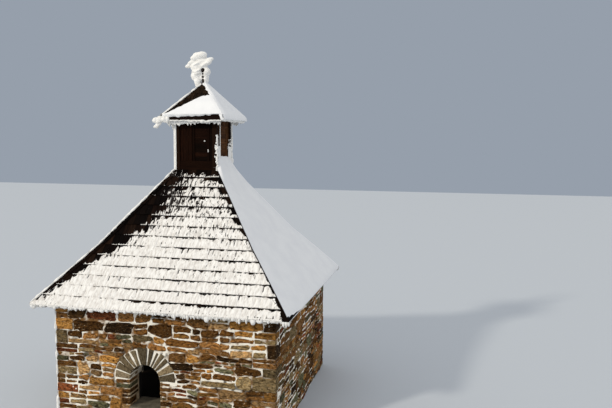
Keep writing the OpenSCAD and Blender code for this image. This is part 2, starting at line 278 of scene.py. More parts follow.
def tints(*colours):
    """sRGB colours as an array of linear ones, for points."""
    return np.array([colour(*rgb)[:3] for rgb in colours])


WHITE = (1, 1, 1, 1)


class Nodes:
    """The node tree of a material or world, with short ways to add nodes to it."""

    def __init__(self, owner):
        owner.use_nodes = True
        self.tree = owner.node_tree

    def add(self, kind, inputs=(), **settings):
        """A new node. An input is linked where it is given a socket, and set otherwise."""
        node = self.tree.nodes.new("ShaderNode" + kind)
        for key, value in settings.items():
            setattr(node, key, value)
        for key, value in dict(inputs).items():
            if isinstance(value, bpy.types.NodeSocket):
                self.tree.links.new(value, node.inputs[key])
            else:
                node.inputs[key].default_value = value
        return node

    def math(self, operation, *values):
        return self.add("Math", enumerate(values), operation=operation).outputs[0]

    def average(self, first, second):
        return self.math("MULTIPLY", self.math("ADD", first, second), 0.5)

    def span(self, value, **limits):
        """A value mapped from one span to another, both 0 to 1 unless limits say otherwise."""
        limits = {key.replace("_", " "): limit for key, limit in limits.items()}
        return self.add("MapRange", {"Value": value, **limits}).outputs[0]

    def mix(self, factor, first, second, kind="MIX"):
        inputs = {"Fac": factor, "Color1": first, "Color2": second}
        return self.add("MixRGB", inputs, blend_type=kind).outputs["Color"]

    def ramp(self, factor, *stops):
        """A colour ramp through (place, colour) stops."""
        node = self.add("ValToRGB", {"Fac": factor})
        while len(node.color_ramp.elements) < len(stops):
            node.color_ramp.elements.new(0.5)
        for element, (place, shade) in zip(node.color_ramp.elements, stops):
            element.position, element.color = place, shade
        return node.outputs["Color"]


class Look(Nodes):
    """A material in the making. mapping turns or stretches the object's coordinates for its noises."""

    def __init__(self, name, **mapping):
        self.material = bpy.data.materials.new(name)
        super().__init__(self.material)
        self.shader = self.tree.nodes["Principled BSDF"]
        self.place = self.add("TexCoord").outputs["Object"]
        if mapping:
            self.place = self.mapped(**mapping)

    def mapped(self, **mapping):
        return self.add("Mapping", {"Vector": self.place, **mapping}).outputs["Vector"]

    def noise(self, scale, detail, roughness=0.5, place=None):
        inputs = {"Vector": place or self.place, "Scale": scale, "Detail": detail, "Roughness": roughness}
        return self.add("TexNoise", inputs).outputs["Fac"]

    def point_tint(self, output="Color"):
        return self.add("Attribute", attribute_name="tint").outputs[output]

    def finish(self, shade, height, strength, distance, **finish):
        """Joins colour and bump to the shader, sets its finish and returns the material."""
        bump = self.add("Bump", {"Height": height, "Strength": strength, "Distance": distance})
        self.tree.links.new(shade, self.shader.inputs["Base Color"])
        self.tree.links.new(bump.outputs["Normal"], self.shader.inputs["Normal"])
        for key, value in finish.items():
            self.shader.inputs[key.replace("_", " ")].default_value = value
        return self.material


def stone_material(name, dark, light, scale, bump, tinted=False, stretch=(1, 1, 1), stained=None,
                   flecks=None):
    """Rough stone, with mineral patches, fine grain and small pits, and with stains and flecks if given."""
    look = Look(name, Scale=stretch)
    mixed = look.average(look.noise(scale, 5, 0.62), look.noise(scale * 9, 3, 0.7))
    shade = look.ramp(mixed, (0.36, dark), (0.62, light))
    if stained:
        stains = look.noise(scale * 0.55, 3, 0.6)
        stain = look.ramp(stains, (0.36, stained[0]), (0.52, WHITE), (0.66, stained[1]))
        shade = look.mix(1, shade, stain, "MULTIPLY")
    if tinted:
        shade = look.mix(1, look.point_tint(), shade, "MULTIPLY")
    if flecks:
        shown = look.span(look.noise(scale * 0.9, 6, 0.7), From_Min=0.60, From_Max=0.70)
        shade = look.mix(shown, shade, flecks)
    return look.finish(shade, mixed, 0.9, bump, Roughness=0.86, Specular_IOR_Level=0.06)


def wood_material(name, dark, light, along=UPRIGHT, tinted=False):
    """Weathered wood with its grain along a direction."""
    look = Look(name, Rotation=Vector(along).rotation_difference(Vector(UPRIGHT)).to_euler())
    streaks = look.noise(1, 4, 0.6, look.mapped(Scale=(38, 38, 2.2)))
    fibres = look.noise(1, 3, 0.7, look.mapped(Scale=(150, 150, 7)))
    mixed = look.average(streaks, fibres)
    shade = look.ramp(mixed, (0.34, dark), (0.66, light))
    if tinted:
        shade = look.mix(1, look.point_tint(), shade, "MULTIPLY")
    return look.finish(shade, mixed, 0.7, 0.004, Roughness=0.75, Specular_IOR_Level=0.04)


def snow_material(name, shade, deep, scale, bump, stretch=(1, 1, 1), speckled=False):
    """Snow or rime: nearly white, with painted shade that makes it a little darker in its hollows, and with a
    grainy surface.

    Where it is speckled, small bare specks show, more of them where the tint of the points is low.
    """
    look = Look(name, Scale=stretch)
    drifts, crystals = look.noise(scale, 4, 0.55), look.noise(scale * 12, 2)
    # The darker colour where the drifts, which also make the bump, are low is painted shade in the hollows
    white = look.ramp(drifts, (0.35, deep), (0.6, shade))
    if speckled:
        start = look.span(look.point_tint("Fac"), To_Min=0.57, To_Max=0.24)
        specks = look.noise(9.5, 4, 0.6)
        shown = look.span(specks, From_Min=start, From_Max=look.math("ADD", start, 0.03))
        white = look.mix(shown, colour(30, 20, 14), white)
    height = look.math("ADD", drifts, crystals)
    return look.finish(white, height, 0.6, bump, Roughness=0.62, Specular_IOR_Level=0.3)


def iron_material():
    """Dark wrought iron with a trace of rust."""
    look = Look("iron")
    rust = look.noise(40, 4)
    shade = look.ramp(rust, (0.45, colour(24, 21, 20)), (0.75, colour(58, 38, 26)))
    return look.finish(shade, rust, 0.5, 0.002, Metallic=0.6, Roughness=0.55)


def wall_material():
    """Cream lime joints outside, and nearly black plaster inside the room: painted shade, so that the room
    looks dark.
    """
    look = Look("wall")
    axes = look.add("SeparateXYZ", {"Vector": look.place}).outputs
    reach = look.math("MAXIMUM", look.math("ABSOLUTE", axes["X"]), look.math("ABSOLUTE", axes["Y"]))
    outside = look.math("GREATER_THAN", reach, ROOM_HALF + 0.12)
    patches = look.noise(11, 6, 0.65)
    lime = look.ramp(patches, (0.35, colour(132, 108, 76)), (0.62, colour(196, 176, 146)))
    # Inside the room the colour is nearly black: painted shade
    painted_shade_inside = look.ramp(patches, (0.35, colour(12, 9, 7)), (0.65, colour(30, 23, 18)))
    return look.finish(look.mix(outside, painted_shade_inside, lime), patches, 0.9, 0.012, Roughness=0.9)


RUSTY, SOOTY, DUSKY = (1.0, 0.84, 0.62, 1), (0.30, 0.23, 0.16, 1), (0.6, 0.55, 0.5, 1)
RUBBLE = stone_material("rubble", colour(34, 30, 26), WHITE, 20, 0.014, True, (1, 1, 2.0),
                        (SOOTY, RUSTY), colour(206, 180, 144))
MORTAR = stone_material("mortar", colour(234, 231, 226), WHITE, 16, 0.008, True)
RING_JOINT = stone_material("ring_joint", colour(196, 184, 162), colour(255, 252, 242), 11, 0.010)
ARCH = stone_material("arch_stone", colour(84, 82, 78), WHITE, 20, 0.010, True, (2.4, 2.4, 1.2),
                      (DUSKY, WHITE))
SLAB = stone_material("slab_stone", colour(74, 70, 62), colour(128, 120, 104), 7, 0.006)
# floor_stone is nearly black: painted shade, so that the room looks dark through its openings
FLOOR = stone_material("floor_stone", colour(16, 13, 10), colour(34, 28, 23), 6, 0.006)
POST_WOOD = wood_material("post_wood", colour(14, 8, 4), colour(40, 23, 13))
TURRET_WOOD = wood_material("turret_wood", colour(90, 90, 90), WHITE, tinted=True)
IRON = iron_material()
SNOW = snow_material("snow", colour(240, 241, 242), colour(235, 236, 238), 3, 0.003)
RIME = snow_material("rime", colour(252, 251, 248), colour(236, 234, 229), 24, 0.009, (0.5, 1, 1.4))

# Pairs of materials: the first for the front and back, and the second for the right and left
UP_SLOPE, UP_SIDE_SLOPE = (0, 0.63, 0.77), (0.63, 0, 0.77)
SHINGLE = [wood_material(name, colour(88, 88, 88), WHITE, along, True)
           for name, along in (("shingle", UP_SLOPE), ("shingle_side", UP_SIDE_SLOPE))]
LEVEL_WOOD = [wood_material(name, colour(90, 90, 90), WHITE, along, True)
              for name, along in (("turret_wood_level", ALONG_X), ("turret_wood_level_side", ALONG_Y))]
THIN_SNOW = [snow_material(name, colour(254, 252, 248), colour(222, 217, 211), 9, 0.014, stretch, True)
             for name, stretch in (("thin_snow", (3.2, 0.9, 0.9)), ("thin_snow_side", (0.9, 3.2, 0.9)))]


def dress_cad_nodes():
    """Gives each CAD node that stays a material."""
    def timber(name, along):
        return wood_material("timber_" + name, colour(52, 35, 22), colour(104, 76, 50), along)

    wall = wall_material()
    chosen = {
        "floor_slab": FLOOR, "door_threshold": SLAB, "window_sills": SLAB,
        "window_arches": RING_JOINT, "doorway_arch": RING_JOINT,
        "front_back_plates": timber("plates_x", ALONG_X), "side_plates": timber("plates_y", ALONG_Y),
        "hip_rafters": timber("hips", UPRIGHT), "turret_base_frame": timber("base", ALONG_X),
        "turret_head_frame": timber("head", ALONG_X), "turret_posts": POST_WOOD, "king_post": POST_WOOD,
        "cap_fascia": wood_material("fascia_wood", colour(12, 7, 5), colour(30, 17, 11), ALONG_X),
        "finial_rod": IRON, "orb": IRON, "cross": IRON,
    }
    for side, name in enumerate(SIDE_NAMES):
        level = (ALONG_X, ALONG_Y)[side % 2]
        chosen[name + "_wall"] = wall
        chosen[name + "_rafters"] = timber(name, turned(UP_SLOPE, side))
        chosen[name + "_roof_boards"] = timber("boards", level)
        chosen["cap_" + name] = wood_material("cap_boards", colour(16, 11, 8), colour(42, 29, 20), level)
    for name, material in chosen.items():
        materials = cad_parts[name].data.materials
        materials.clear()
        materials.append(material)


# Stone walls

# Brown, ochre, dark brown, tan, grey-brown, rust, near black and grey-green
STONE_RGB = tints((156, 112, 64), (186, 136, 72), (114, 78, 38), (180, 144, 98),
                  (150, 130, 94), (148, 86, 52), (68, 48, 26), (116, 114, 86))
STONE_SHARES = np.array((0.24, 0.10, 0.20, 0.09, 0.12, 0.10, 0.09, 0.08))
ARCH_RGB = tints((150, 132, 102), (126, 112, 88), (168, 150, 122))
EARTHY, CREAM = tints((128, 94, 56), (255, 251, 240))

# Heights at which the stones of all four walls are level, so that the corner stones fit both walls
ANCHORS = (0.0, SILL_LOW.z, WINDOW_SPRING, DOOR_SPRING, WALL_TOP)
BED_H = 0.225
JOINT, JAMB_JOINT = 0.011, 0.018
# Lower beds than these are never split into two stones: in a wall and at its corners, and beside an opening
THIN_BED, THIN_JAMB_BED = 0.15, 0.13
ARCH_HALF_DEPTH = 0.17
# Distance of the points of a sheet that covers a wall
WALL_CELL = 0.03


def stone_shades(rng, darkest, brightest, count=1):
    """Colours for a number of stones, each darker or brighter by chance."""
    picks = rng.choice(len(STONE_SHARES), count, p=STONE_SHARES / STONE_SHARES.sum())
    return STONE_RGB[picks] * rng.uniform(darkest, brightest, (count, 1))


def bed_levels():
    """The heights of the main beds, with the anchors among them."""
    rng = np.random.default_rng(11)
    levels = [0.0]
    for low, high in pairwise(ANCHORS):
        shares = rng.uniform(0.75, 1.25, max(1, round((high - low) / BED_H)))
        levels += list(low + (high - low) * np.cumsum(shares) / shares.sum())
    return levels


def cut_up(start, end, shortest, longest, rng):
    """Places that cut a length into uneven parts."""
    places = [start]
    while end - places[-1] > longest:
        places.append(places[-1] + rng.uniform(shortest, longest))
    if end - places[-1] < shortest and len(places) > 1:
        places.pop()
    return places + [end]


def split_bed(low, high, whole, rng):
    """The levels of one stone that fills a bed, or of two that lie on each other."""
    return (low, high) if whole else (low, low + (high - low) * rng.uniform(0.42, 0.58), high)


def rubble_cells(start, end, low, high, rng):
    """Cells (u0, u1, z0, z1) of uneven stones that fill a stretch of one bed."""
    cells = []
    height = high - low
    for u0, u1 in pairwise(cut_up(start, end, 0.26, 0.74, rng)):
        layers = 2
        if height < THIN_BED or rng.random() < 0.36:
            layers = 1
        elif height > 0.24 and rng.random() < 0.2:
            layers = 3
        shares = rng.uniform(0.7, 1.4, layers)
        for z0, z1 in pairwise(low + height * np.concatenate([[0], np.cumsum(shares) / shares.sum()])):
            longest = min(0.66, max(0.24, 4.2 * (z1 - z0)))
            cells += [(a, b, z0, z1) for a, b in pairwise(cut_up(u0, u1, 0.36 * longest, longest, rng))]
    return cells


# Points round the outline of a relief stone
AROUND = 26
# Rings of a relief stone from its edge inwards: how far in, and how far the stone stands out there
STONE_RINGS = ((0.0, -0.004), (0.004, 0.008), (0.011, 0.016), (0.024, 0.019))
# Its last ring: size as a share of the stone, how far it stands out, and how far the middle point does
CROWN_SHARE, CROWN_RISE, TOP_RISE = 0.55, 0.021, 0.020


def warp(u, z, seed):
    """Bends the straight beds and joints of a wall a little, and less near its corners."""
    free = 1 - 0.8 * ramp(np.abs(u), WALL_HALF - 0.6, WALL_HALF - 0.25)
    du = 0.022 * noise(u * 2.3, z * 3.1, seed) + 0.020 * noise(u * 6, z * 9, seed + 1)
    dz = 0.030 * noise(u * 1.1, z * 1.6, seed + 2) + 0.026 * noise(u * 4.3, z * 5, seed + 3)
    dz = dz + 0.010 * noise(u * 11, z * 9, seed + 4)
    return u + du * free, z + dz * free


def stone_outlines(rng, n):
    """Ragged outlines between an oval and a box, from -1 to 1 along u and along z."""
    angle = np.linspace(0, 2 * math.pi, AROUND, endpoint=False)
    power = rng.uniform(0.2, 0.6, (n, 1))
    for wave, ragged, most in ((np.cos(angle), 0.045, 2), (np.sin(angle), 0.11, 1.6)):
        chance = np.clip(rng.standard_normal((n, AROUND)), -2, most)
        yield np.sign(wave) * np.abs(wave) ** power * (1 + ragged * chance)


def stone_rings(rng, cells):
    """Rings of points (u, z, out) of rounded, leaning, uneven stones: [stone, ring, corner, coordinate]."""
    n = len(cells)
    u0, u1, z0, z1 = cells.T[..., None]
    mid_u, mid_z = (u0 + u1) / 2, (z0 + z1) / 2
    gap_u, gap_z = JOINT * rng.uniform(0.5, 2.8, (2, n, 1))
    half_u, half_z = (u1 - u0 - gap_u) / 2, (z1 - z0 - gap_z) / 2
    edge_u, edge_z = stone_outlines(rng, n)
    lean, taper, bulge = rng.uniform(-0.35, 0.35, (3, n, 1))
    tilt_u, tilt_z = rng.uniform(-0.3, 0.3, (2, n, 1))
    proud = rng.uniform(0.75, 1.3, (n, 1))
    shrink = np.minimum(1, np.minimum(half_u, half_z) / 0.05)
    sizes = [(half_u - inset * shrink, half_z - inset * shrink, rise) for inset, rise in STONE_RINGS]
    sizes.append((half_u * CROWN_SHARE, half_z * CROWN_SHARE, CROWN_RISE))
    rings = []
    for a, b, rise in sizes:
        u = mid_u + edge_u * a + lean * edge_z * b
        z = mid_z + edge_z * b * (1 + 0.8 * taper * edge_u) + 0.12 * bulge * b * edge_u**2
        out = np.full_like(u, rise)
        if rise > 0:
            out = rise * proud * (1 + tilt_u * edge_u + tilt_z * edge_z)
            out = out + 0.0025 * rng.standard_normal((n, AROUND))
        rings.append(np.stack([u, z, out], -1))
    top = np.stack([mid_u, mid_z, TOP_RISE * proud], -1)
    rings.append(np.repeat(top, AROUND, 1))
    return np.stack(rings, 1)


def clear_of_arch(points, opening):
    """Pushes stones off the arch ring of an opening, and leaves out those that are mostly behind it."""
    at, half_width, _, spring = opening
    radius = half_width + RING_W + 0.01
    du, dz = points[..., 0] - at, points[..., 1] - spring
    distance = np.hypot(du, dz)
    inner = (distance < radius) & (points[..., 1] > spring - 0.06)
    push = np.where(inner, radius / np.maximum(distance, 1e-6), 1)
    points[..., 0], points[..., 1] = at + du * push, spring + dz * push
    return points[inner[:, 0].mean(1) < 0.55]


def relief_stones(skin, cells, side, opening, seed):
    """Adds a rounded relief stone for each cell of a wall."""
    rng = np.random.default_rng(seed)
    points = stone_rings(rng, np.array(cells))
    if opening:
        points = clear_of_arch(points, opening)
    u, z = warp(points[..., 0], points[..., 1], side + 40)
    u = np.clip(u, -WALL_HALF + 0.01, WALL_HALF - 0.01)
    world = turned(np.stack([u, -WALL_HALF - points[..., 2], np.clip(z, 0, None)], -1), side)
    n, ring_count = world.shape[:2]
    ring, corner = np.meshgrid(np.arange(ring_count - 1), np.arange(AROUND), indexing="ij")
    near, far = ring * AROUND + corner, ring * AROUND + (corner + 1) % AROUND
    quads = np.stack([near, far, far + AROUND, near + AROUND], -1).reshape(-1, 4)
    starts = np.arange(n)[:, None, None] * ring_count * AROUND
    shades = np.repeat(stone_shades(rng, 0.7, 2.4, n), ring_count * AROUND, axis=0)
    skin.add(world, (quads + starts).reshape(-1, 4), shades)


def quoin_reach(level_index, corner):
    """How far the corner stone of one bed runs along the wall on the left and on the right of a corner."""
    rng = np.random.default_rng(300 + 10 * level_index + corner)
    long, short = rng.uniform(0.3, 0.46), rng.uniform(0.16, 0.26)
    return (long, short) if (level_index + corner) % 2 else (short, long)


def corner_stones(skin, levels):
    """Stones that turn the four corners of the walls, one or two to a bed."""
    rng = np.random.default_rng(21)
    for corner in range(4):
        for index, (low, high) in enumerate(pairwise(levels)):
            left, right = quoin_reach(index, corner)
            whole = high - low < THIN_BED or rng.random() < 0.5
            for z0, z1 in pairwise(split_bed(low, high, whole, rng)):
                proud = rng.uniform(0.008, 0.02)
                skin.block((WALL_HALF - left + JOINT / 2, -WALL_HALF - proud, z0 + JOINT / 2),
                           (WALL_HALF + proud, -WALL_HALF + right - JOINT / 2, z1 - JOINT / 2),
                           corner, 0.014, int(rng.integers(1000)), stone_shades(rng, 0.7, 1.7))


def jamb_stones(skin, side, opening, levels, seed):
    """Stones that turn both upright edges of an opening. Returns how far they reach beyond it, by bed."""
    at, half_width, foot, spring = opening
    rng = np.random.default_rng(seed)
    reaches = {}
    for index, (low, high) in enumerate(pairwise(levels)):
        if high < foot + 0.02 or low > spring - 0.02:
            continue
        low, high = max(low, foot), min(high, spring)
        reaches[index] = []
        for sign in (-1, 1):
            reach, deep = rng.uniform(0.12, 0.3), rng.uniform(0.26, 0.44)
            reaches[index].append(reach)
            u0, u1 = sorted((at + sign * (half_width - 0.006), at + sign * (half_width + reach - JOINT / 2)))
            for z0, z1 in pairwise(split_bed(low, high, high - low < THIN_JAMB_BED, rng)):
                skin.block((u0, -WALL_HALF - rng.uniform(0.008, 0.016), z0 + JAMB_JOINT / 2),
                           (u1, -WALL_HALF + deep, z1 - JAMB_JOINT / 2),
                           side, 0.018, int(rng.integers(1000)), stone_shades(rng, 0.75, 1.2))
    return reaches


def wall_cells(side, levels, opening, reaches, seed):
    """Rubble cells of a whole wall, beside its corner stones and its opening."""
    rng = np.random.default_rng(seed)
    cells = []
    for index, (low, high) in enumerate(pairwise(levels)):
        ends = [-WALL_HALF + quoin_reach(index, (side - 1) % 4)[1], WALL_HALF - quoin_reach(index, side)[0]]
        if index in reaches:
            at, half_width = opening[:2]
            left, right = reaches[index]
            ends[1:1] = [at - half_width - left, at + half_width + right]
        for start, end in zip(ends[::2], ends[1::2]):
            cells += rubble_cells(start, end, low, high, rng)
    return cells


def arch_blocks(skin, side, opening, joints, seed):
    """Narrow arch stones between joints, given in degrees from the right foot."""
    at, half_width, _, spring = opening
    rng = np.random.default_rng(seed)
    for first, last in pairwise(joints):
        inner, outer = half_width - 0.006, half_width + RING_W * rng.uniform(0.86, 1.05)
        middle = (inner + outer) / 2
        width = math.radians(last - first) * middle - rng.uniform(0.018, 0.040)
        proud = rng.uniform(0.016, 0.028)
        half = (width / 2, ARCH_HALF_DEPTH, (outer - inner) / 2)
        points, faces = rounded_block(half, 0.016, int(rng.integers(1000)), 0.009)
        turn = math.radians((first + last) / 2 + rng.uniform(-0.8, 0.8)) - points[:, 0] / middle
        reach = middle + points[:, 2]
        y = -WALL_HALF + ARCH_HALF_DEPTH - proud + points[:, 1]
        world = np.stack([at + reach * np.cos(turn), y, spring + reach * np.sin(turn)], -1)
        skin.add(turned(world, side), faces, ARCH_RGB[rng.integers(3)] * rng.uniform(0.7, 1.7))


def in_opening(u, z, opening, wider, arch_wider):
    """Where points of a wall lie in its opening, with the jambs and the arch that much wider."""
    at, half_width, foot, spring = opening
    between = (np.abs(u - at) < half_width + wider) & (z > foot - wider) & (z < spring)
    return between | (np.hypot(u - at, z - spring) < half_width + arch_wider)


def mortar_sheet(skin, side, opening, seed):
    """Raised, uneven joints on the face of a wall, around its opening: flush ones cream, sunk ones earthy."""
    u, z = upright_grid((-WALL_HALF, WALL_HALF), (0, WALL_TOP), WALL_CELL)
    z = np.minimum(z, WALL_TOP)
    flush = rough(u * 2.1, z * 2.6, seed + 9, 2) + 0.5 * noise(u * 11, z * 13, seed + 4)
    out = 0.005 + 0.0055 * flush + 0.004 * rough(u * 14, z * 16, seed)
    out = np.maximum(out, 0.0015) * (1 - 0.8 * ramp(np.abs(u), WALL_HALF - 0.12, WALL_HALF - 0.02))
    light = ramp(flush + noise(u * 19, z * 23, seed + 5), -0.85, 0.6)
    light = light * (1 - 0.85 * ramp(np.abs(u), WALL_HALF - 0.18, WALL_HALF - 0.03))
    faces = grid_faces(*u.shape)
    if opening:
        at, half_width, foot, spring = opening
        faces = faces[~in_opening(u, z, opening, 0.02, 0.03).ravel()[faces].any(1)]
        near = (np.abs(u - at) < half_width + 0.05) & (z > foot - 0.05) & (z < spring + half_width + 0.05)
        ring = (np.hypot(u - at, z - spring) < half_width + RING_W - 0.02) & (z > spring - 0.03)
        out = np.where(near, -0.004, out)
        out = np.where(ring, np.minimum(out, 0.003), out)
        light = np.where(ring, 1.0, light)
    gaps = ramp(noise(u * 3.1, z * 4.1, seed + 6) + 0.7 * noise(u * 11, z * 15, seed + 7), 0.3, 0.75)
    shadow = 1 - 0.75 * gaps * (light < 1)
    tint = (EARTHY + (CREAM - EARTHY) * light[..., None]) * shadow[..., None]
    skin.add(turned(np.stack([u, -WALL_HALF - out, z], -1), side), faces, tint.reshape(-1, 3))


def even_joints(count, seed):
    """Joints of an arch whose stones differ a little in width."""
    widths = np.random.default_rng(seed).uniform(0.75, 1.3, count)
    return np.concatenate([[0], np.cumsum(widths) / widths.sum() * 180])


ARCH_JOINTS = {
    FRONT: (0, 20, 38, 49, 60, 70, 83, 105, 121, 133, 147, 162, 180),
    BACK: even_joints(12, 5),
    LEFT: even_joints(15, 6),
}


def stone_walls():
    """Rubble, joints and arch stones on all four walls, and the corner stones."""
    levels = bed_levels()
    corners = Skin()
    corner_stones(corners, levels)
    for side, name in enumerate(SIDE_NAMES):
        stones, ring, joints = Skin(), Skin(), Skin()
        opening = OPENINGS.get(side)
        reaches = jamb_stones(corners, side, opening, levels, 60 + side) if opening else {}
        relief_stones(stones, wall_cells(side, levels, opening, reaches, 70 + side), side, opening, 80 + side)
        if opening:
            arch_blocks(ring, side, opening, ARCH_JOINTS[side], 90 + side)
            ring.piece(name + "_arch_stones", ARCH, "arch_stone")
        mortar_sheet(joints, side, opening, 50 + side)
        stones.piece(name + "_rubble", RUBBLE, "rubble_stone")
        joints.piece(name + "_joints", MORTAR, "rubble_stone")
    corners.piece("corner_stones", RUBBLE, "rubble_stone")


# Shingles

SHINGLE_RGB = tints((30, 18, 11), (20, 12, 8), (40, 26, 17), (16, 10, 7))
SHINGLE_FACES = np.array([(0, 1, 3, 2), (4, 6, 7, 5), (0, 4, 5, 1), (2, 3, 7, 6), (0, 2, 6, 4), (1, 5, 7, 3)])
HIP_SHINGLE_W, HIP_SHINGLE_RISE = 0.095, 0.014
CAP_COURSES = 6
CAP_COURSE = CAP_LEN / CAP_COURSES
CAP_SHINGLE_RGB = tints((52, 38, 25), (38, 27, 17))


def slope_half(s):
    """Distance from the middle to the hip, s up the slope."""
    return np.where(s <= FLARE_LEN, EAVE_HALF - s * math.cos(LOWER_PITCH),
                    BEND_U - (s - FLARE_LEN) * math.cos(UPPER_PITCH))


def on_slope(x, s, out=0.0):
    """Points of the front roof face: x along the eaves, s up the slope, out above the surface."""
    x, s, out = np.broadcast_arrays(np.asarray(x, float), s, out)
    low = s <= FLARE_LEN
    pitch = np.where(low, LOWER_PITCH, UPPER_PITCH)
    z = np.where(low, EAVE_Z + s * math.sin(LOWER_PITCH), BEND_Z + (s - FLARE_LEN) * math.sin(UPPER_PITCH))
    return np.stack([x, -slope_half(s) - out * np.sin(pitch), z + out * np.cos(pitch)], -1)


def cap_half(s):
    """Distance from the middle to the cap's hip, s up the slope."""
    return CAP_HALF - s * math.cos(CAP_PITCH)


def on_cap(x, s, out=0.0):
    """Points of the cap's front face: x along its edge, s up the slope, out above the surface."""
    x, s, out = np.broadcast_arrays(np.asarray(x, float), s, out)
    y = -CAP_HALF + s * math.cos(CAP_PITCH) - out * math.sin(CAP_PITCH)
    return np.stack([x, y, CAP_Z + s * math.sin(CAP_PITCH) + out * math.cos(CAP_PITCH)], -1)


def shingle_corners(surface, x_span, s_span, heights):
    """The corners of a shingle. heights are those of its two faces, each at both s."""
    return np.array([surface(x, s, out) for face in heights for s, out in zip(s_span, face) for x in x_span])


def hip_planes(side):
    """Cut planes through the two hips of a side."""
    turn = Matrix.Rotation(side * math.pi / 2, 3, "Z")
    return [((0, 0, 0), turn @ Vector(normal)) for normal in ((1, 1, 0), (-1, 1, 0))]


def course_joints(index, side):
    """Places of the joints between the shingles of one course."""
    rng = np.random.default_rng(1000 * (side + 1) + index)
    half = float(slope_half(index * COURSE)) + 0.15
    widths = rng.uniform(0.08, 0.135, int(2 * half / 0.08) + 2)
    places = -half + np.cumsum(widths)
    return places[places < half + 0.1]


def roof_shingles(side):
    """Courses of single shingles on one face, mitred at the hips, in place of the CAD cover.

    A short row of starters lies under the first course.
    """
    rng = np.random.default_rng(200 + side)
    skin = Skin()
    for index in range(-1, COURSES):
        s0, base, cover = (index * COURSE, 0.0, 1.6) if index >= 0 else (0.0, STEP, 1.0)
        s1 = min(s0 + cover * COURSE, SLOPE_LEN + 0.02)
        foot = min(base + STEP * (s1 - s0) / COURSE, 0.031)
        for x0, x1 in pairwise(course_joints(index, side)):
            shade = SHINGLE_RGB[rng.integers(4)] * rng.uniform(0.8, 1.25)
            gap, butt = rng.uniform(0.0015, 0.004), rng.uniform(-0.004, 0.006)
            lift = rng.uniform(-0.002, 0.002)
            butt = butt if index > 0 else max(butt, 0)
            heights = (lift - base, -foot), (0.002 - base - STEP, -foot - 0.004)
            corners = shingle_corners(on_slope, (x0 + gap, x1 - gap), (s0 + butt, s1), heights)
            skin.add(turned(corners, side), SHINGLE_FACES, shade)
    planes = hip_planes(side) + [((0, 0, ROOF_TOP_Z), UPRIGHT)]
    name = SIDE_NAMES[side]
    skin.piece(name + "_shingle_courses", SHINGLE[side % 2], "shingle", [name + "_shingles"], planes, False)


def hip_shingles():
    """Pairs of shingles laid along the four hips, one pair to a course."""
    rng = np.random.default_rng(31)
    skin = Skin()
    for corner in range(4):
        for index in range(COURSES):
            ends = (index * COURSE, 0.0), (min((index + 1.15) * COURSE, SLOPE_LEN), -STEP)
            for mirrored in (True, False):
                width = HIP_SHINGLE_W * rng.uniform(0.85, 1.1)
                shade = SHINGLE_RGB[rng.integers(4)] * rng.uniform(0.7, 1.1)
                corners = np.array([on_slope(float(slope_half(s)) - inset, s, out + drop * (out > 0))
                                    for out in (HIP_SHINGLE_RISE, -0.006)
                                    for s, drop in ends for inset in (0.0, width)])
                if mirrored:
                    corners[:, :2] = -corners[:, 1::-1]
                skin.add(turned(corners, corner), SHINGLE_FACES, shade)
    skin.piece("hip_shingles", SHINGLE[0], "shingle", smooth=False)


def cap_shingles():
    """Small shingles on the cap, under the snow."""
    rng = np.random.default_rng(700)
    for side, name in enumerate(SIDE_NAMES):
        skin = Skin()
        for index in range(CAP_COURSES):
            s_span = index * CAP_COURSE, min((index + 1.5) * CAP_COURSE, CAP_LEN)
            half = cap_half(s_span[0]) + 0.1
            x = -half
            while x < half:
                following = x + rng.uniform(0.06, 0.10)
                corners = shingle_corners(on_cap, (x + 0.0015, following - 0.0015), s_span,
                                          ((0.012, 0.012), (0.002, 0.002)))
                corners[2:4, 2] -= 0.011
                shade = CAP_SHINGLE_RGB[rng.integers(2)] * rng.uniform(0.7, 1.3)
                skin.add(turned(corners, side), SHINGLE_FACES, shade)
                x = following
        skin.piece("cap_" + name + "_shingles", SHINGLE[side % 2], "shingle", (), hip_planes(side), False)


# Thin snow on the shingles

# Where the front face is bare along its windward hip: width of the bare band at heights up the slope
BARE_S = (0.0, 0.25, 0.5, 1.0, 1.25, 1.5, 1.8, 2.15, 2.4, 2.6, 3.0, 3.34)
BARE_W = (0.03, 0.11, 0.20, 0.32, 0.41, 0.48, 0.57, 0.66, 0.60, 0.42, 0.22, 0.12)
# Width of the bare strip along the lee hip
STRIP_S = (0.0, 0.2, 0.5, 1.0, 1.7, 1.95, 2.4, 3.34)
STRIP_W = (0.15, 0.085, 0.06, 0.004, 0.008, 0.105, 0.13, 0.14)
# Bare share of a course under the butts of the next one, at some courses
LINE_COURSE = (0, 1, 2, 3, 4, 7, 9, 11, 13)
LINE_WIDTH = (0.16, 0.13, 0.10, 0.085, 0.075, 0.075, 0.12, 0.15, 0.16)

# Points of the snow on one shingle: shares up its course, shares across it, and the grooves over the joints
ROWS = np.array([-0.014, 0.0, 0.025, 0.06, 0.11, 0.18, 0.27, 0.37, 0.48, 0.59, 0.7, 0.79, 0.86, 0.91, 0.95,
                 0.98, 1.0])
PARTS = np.array([0.0, 0.09, 0.2, 0.4, 0.6, 0.8, 0.93])
GROOVE = np.array([1.0, 0.75, 0.1, 0.0, 0.0, 0.0, 0.4])
# Snow lower than this, measured from the top of its shingle, doesn't show
HIDDEN_DEPTH = -0.0045


def bare_band(x, s):
    """Distance from the bare band along the windward hip, which is at -x."""
    return x + slope_half(s) - np.interp(s, BARE_S, BARE_W)


def full_cover(x, s, luck, seed):
    """How well rime covers the windward face: nearly everywhere."""
    return 2.2 + 0.8 * rough(x * 7, s * 5, seed) + 0.5 * luck + 0.6 * noise(x * 30, s * 9, seed + 3)


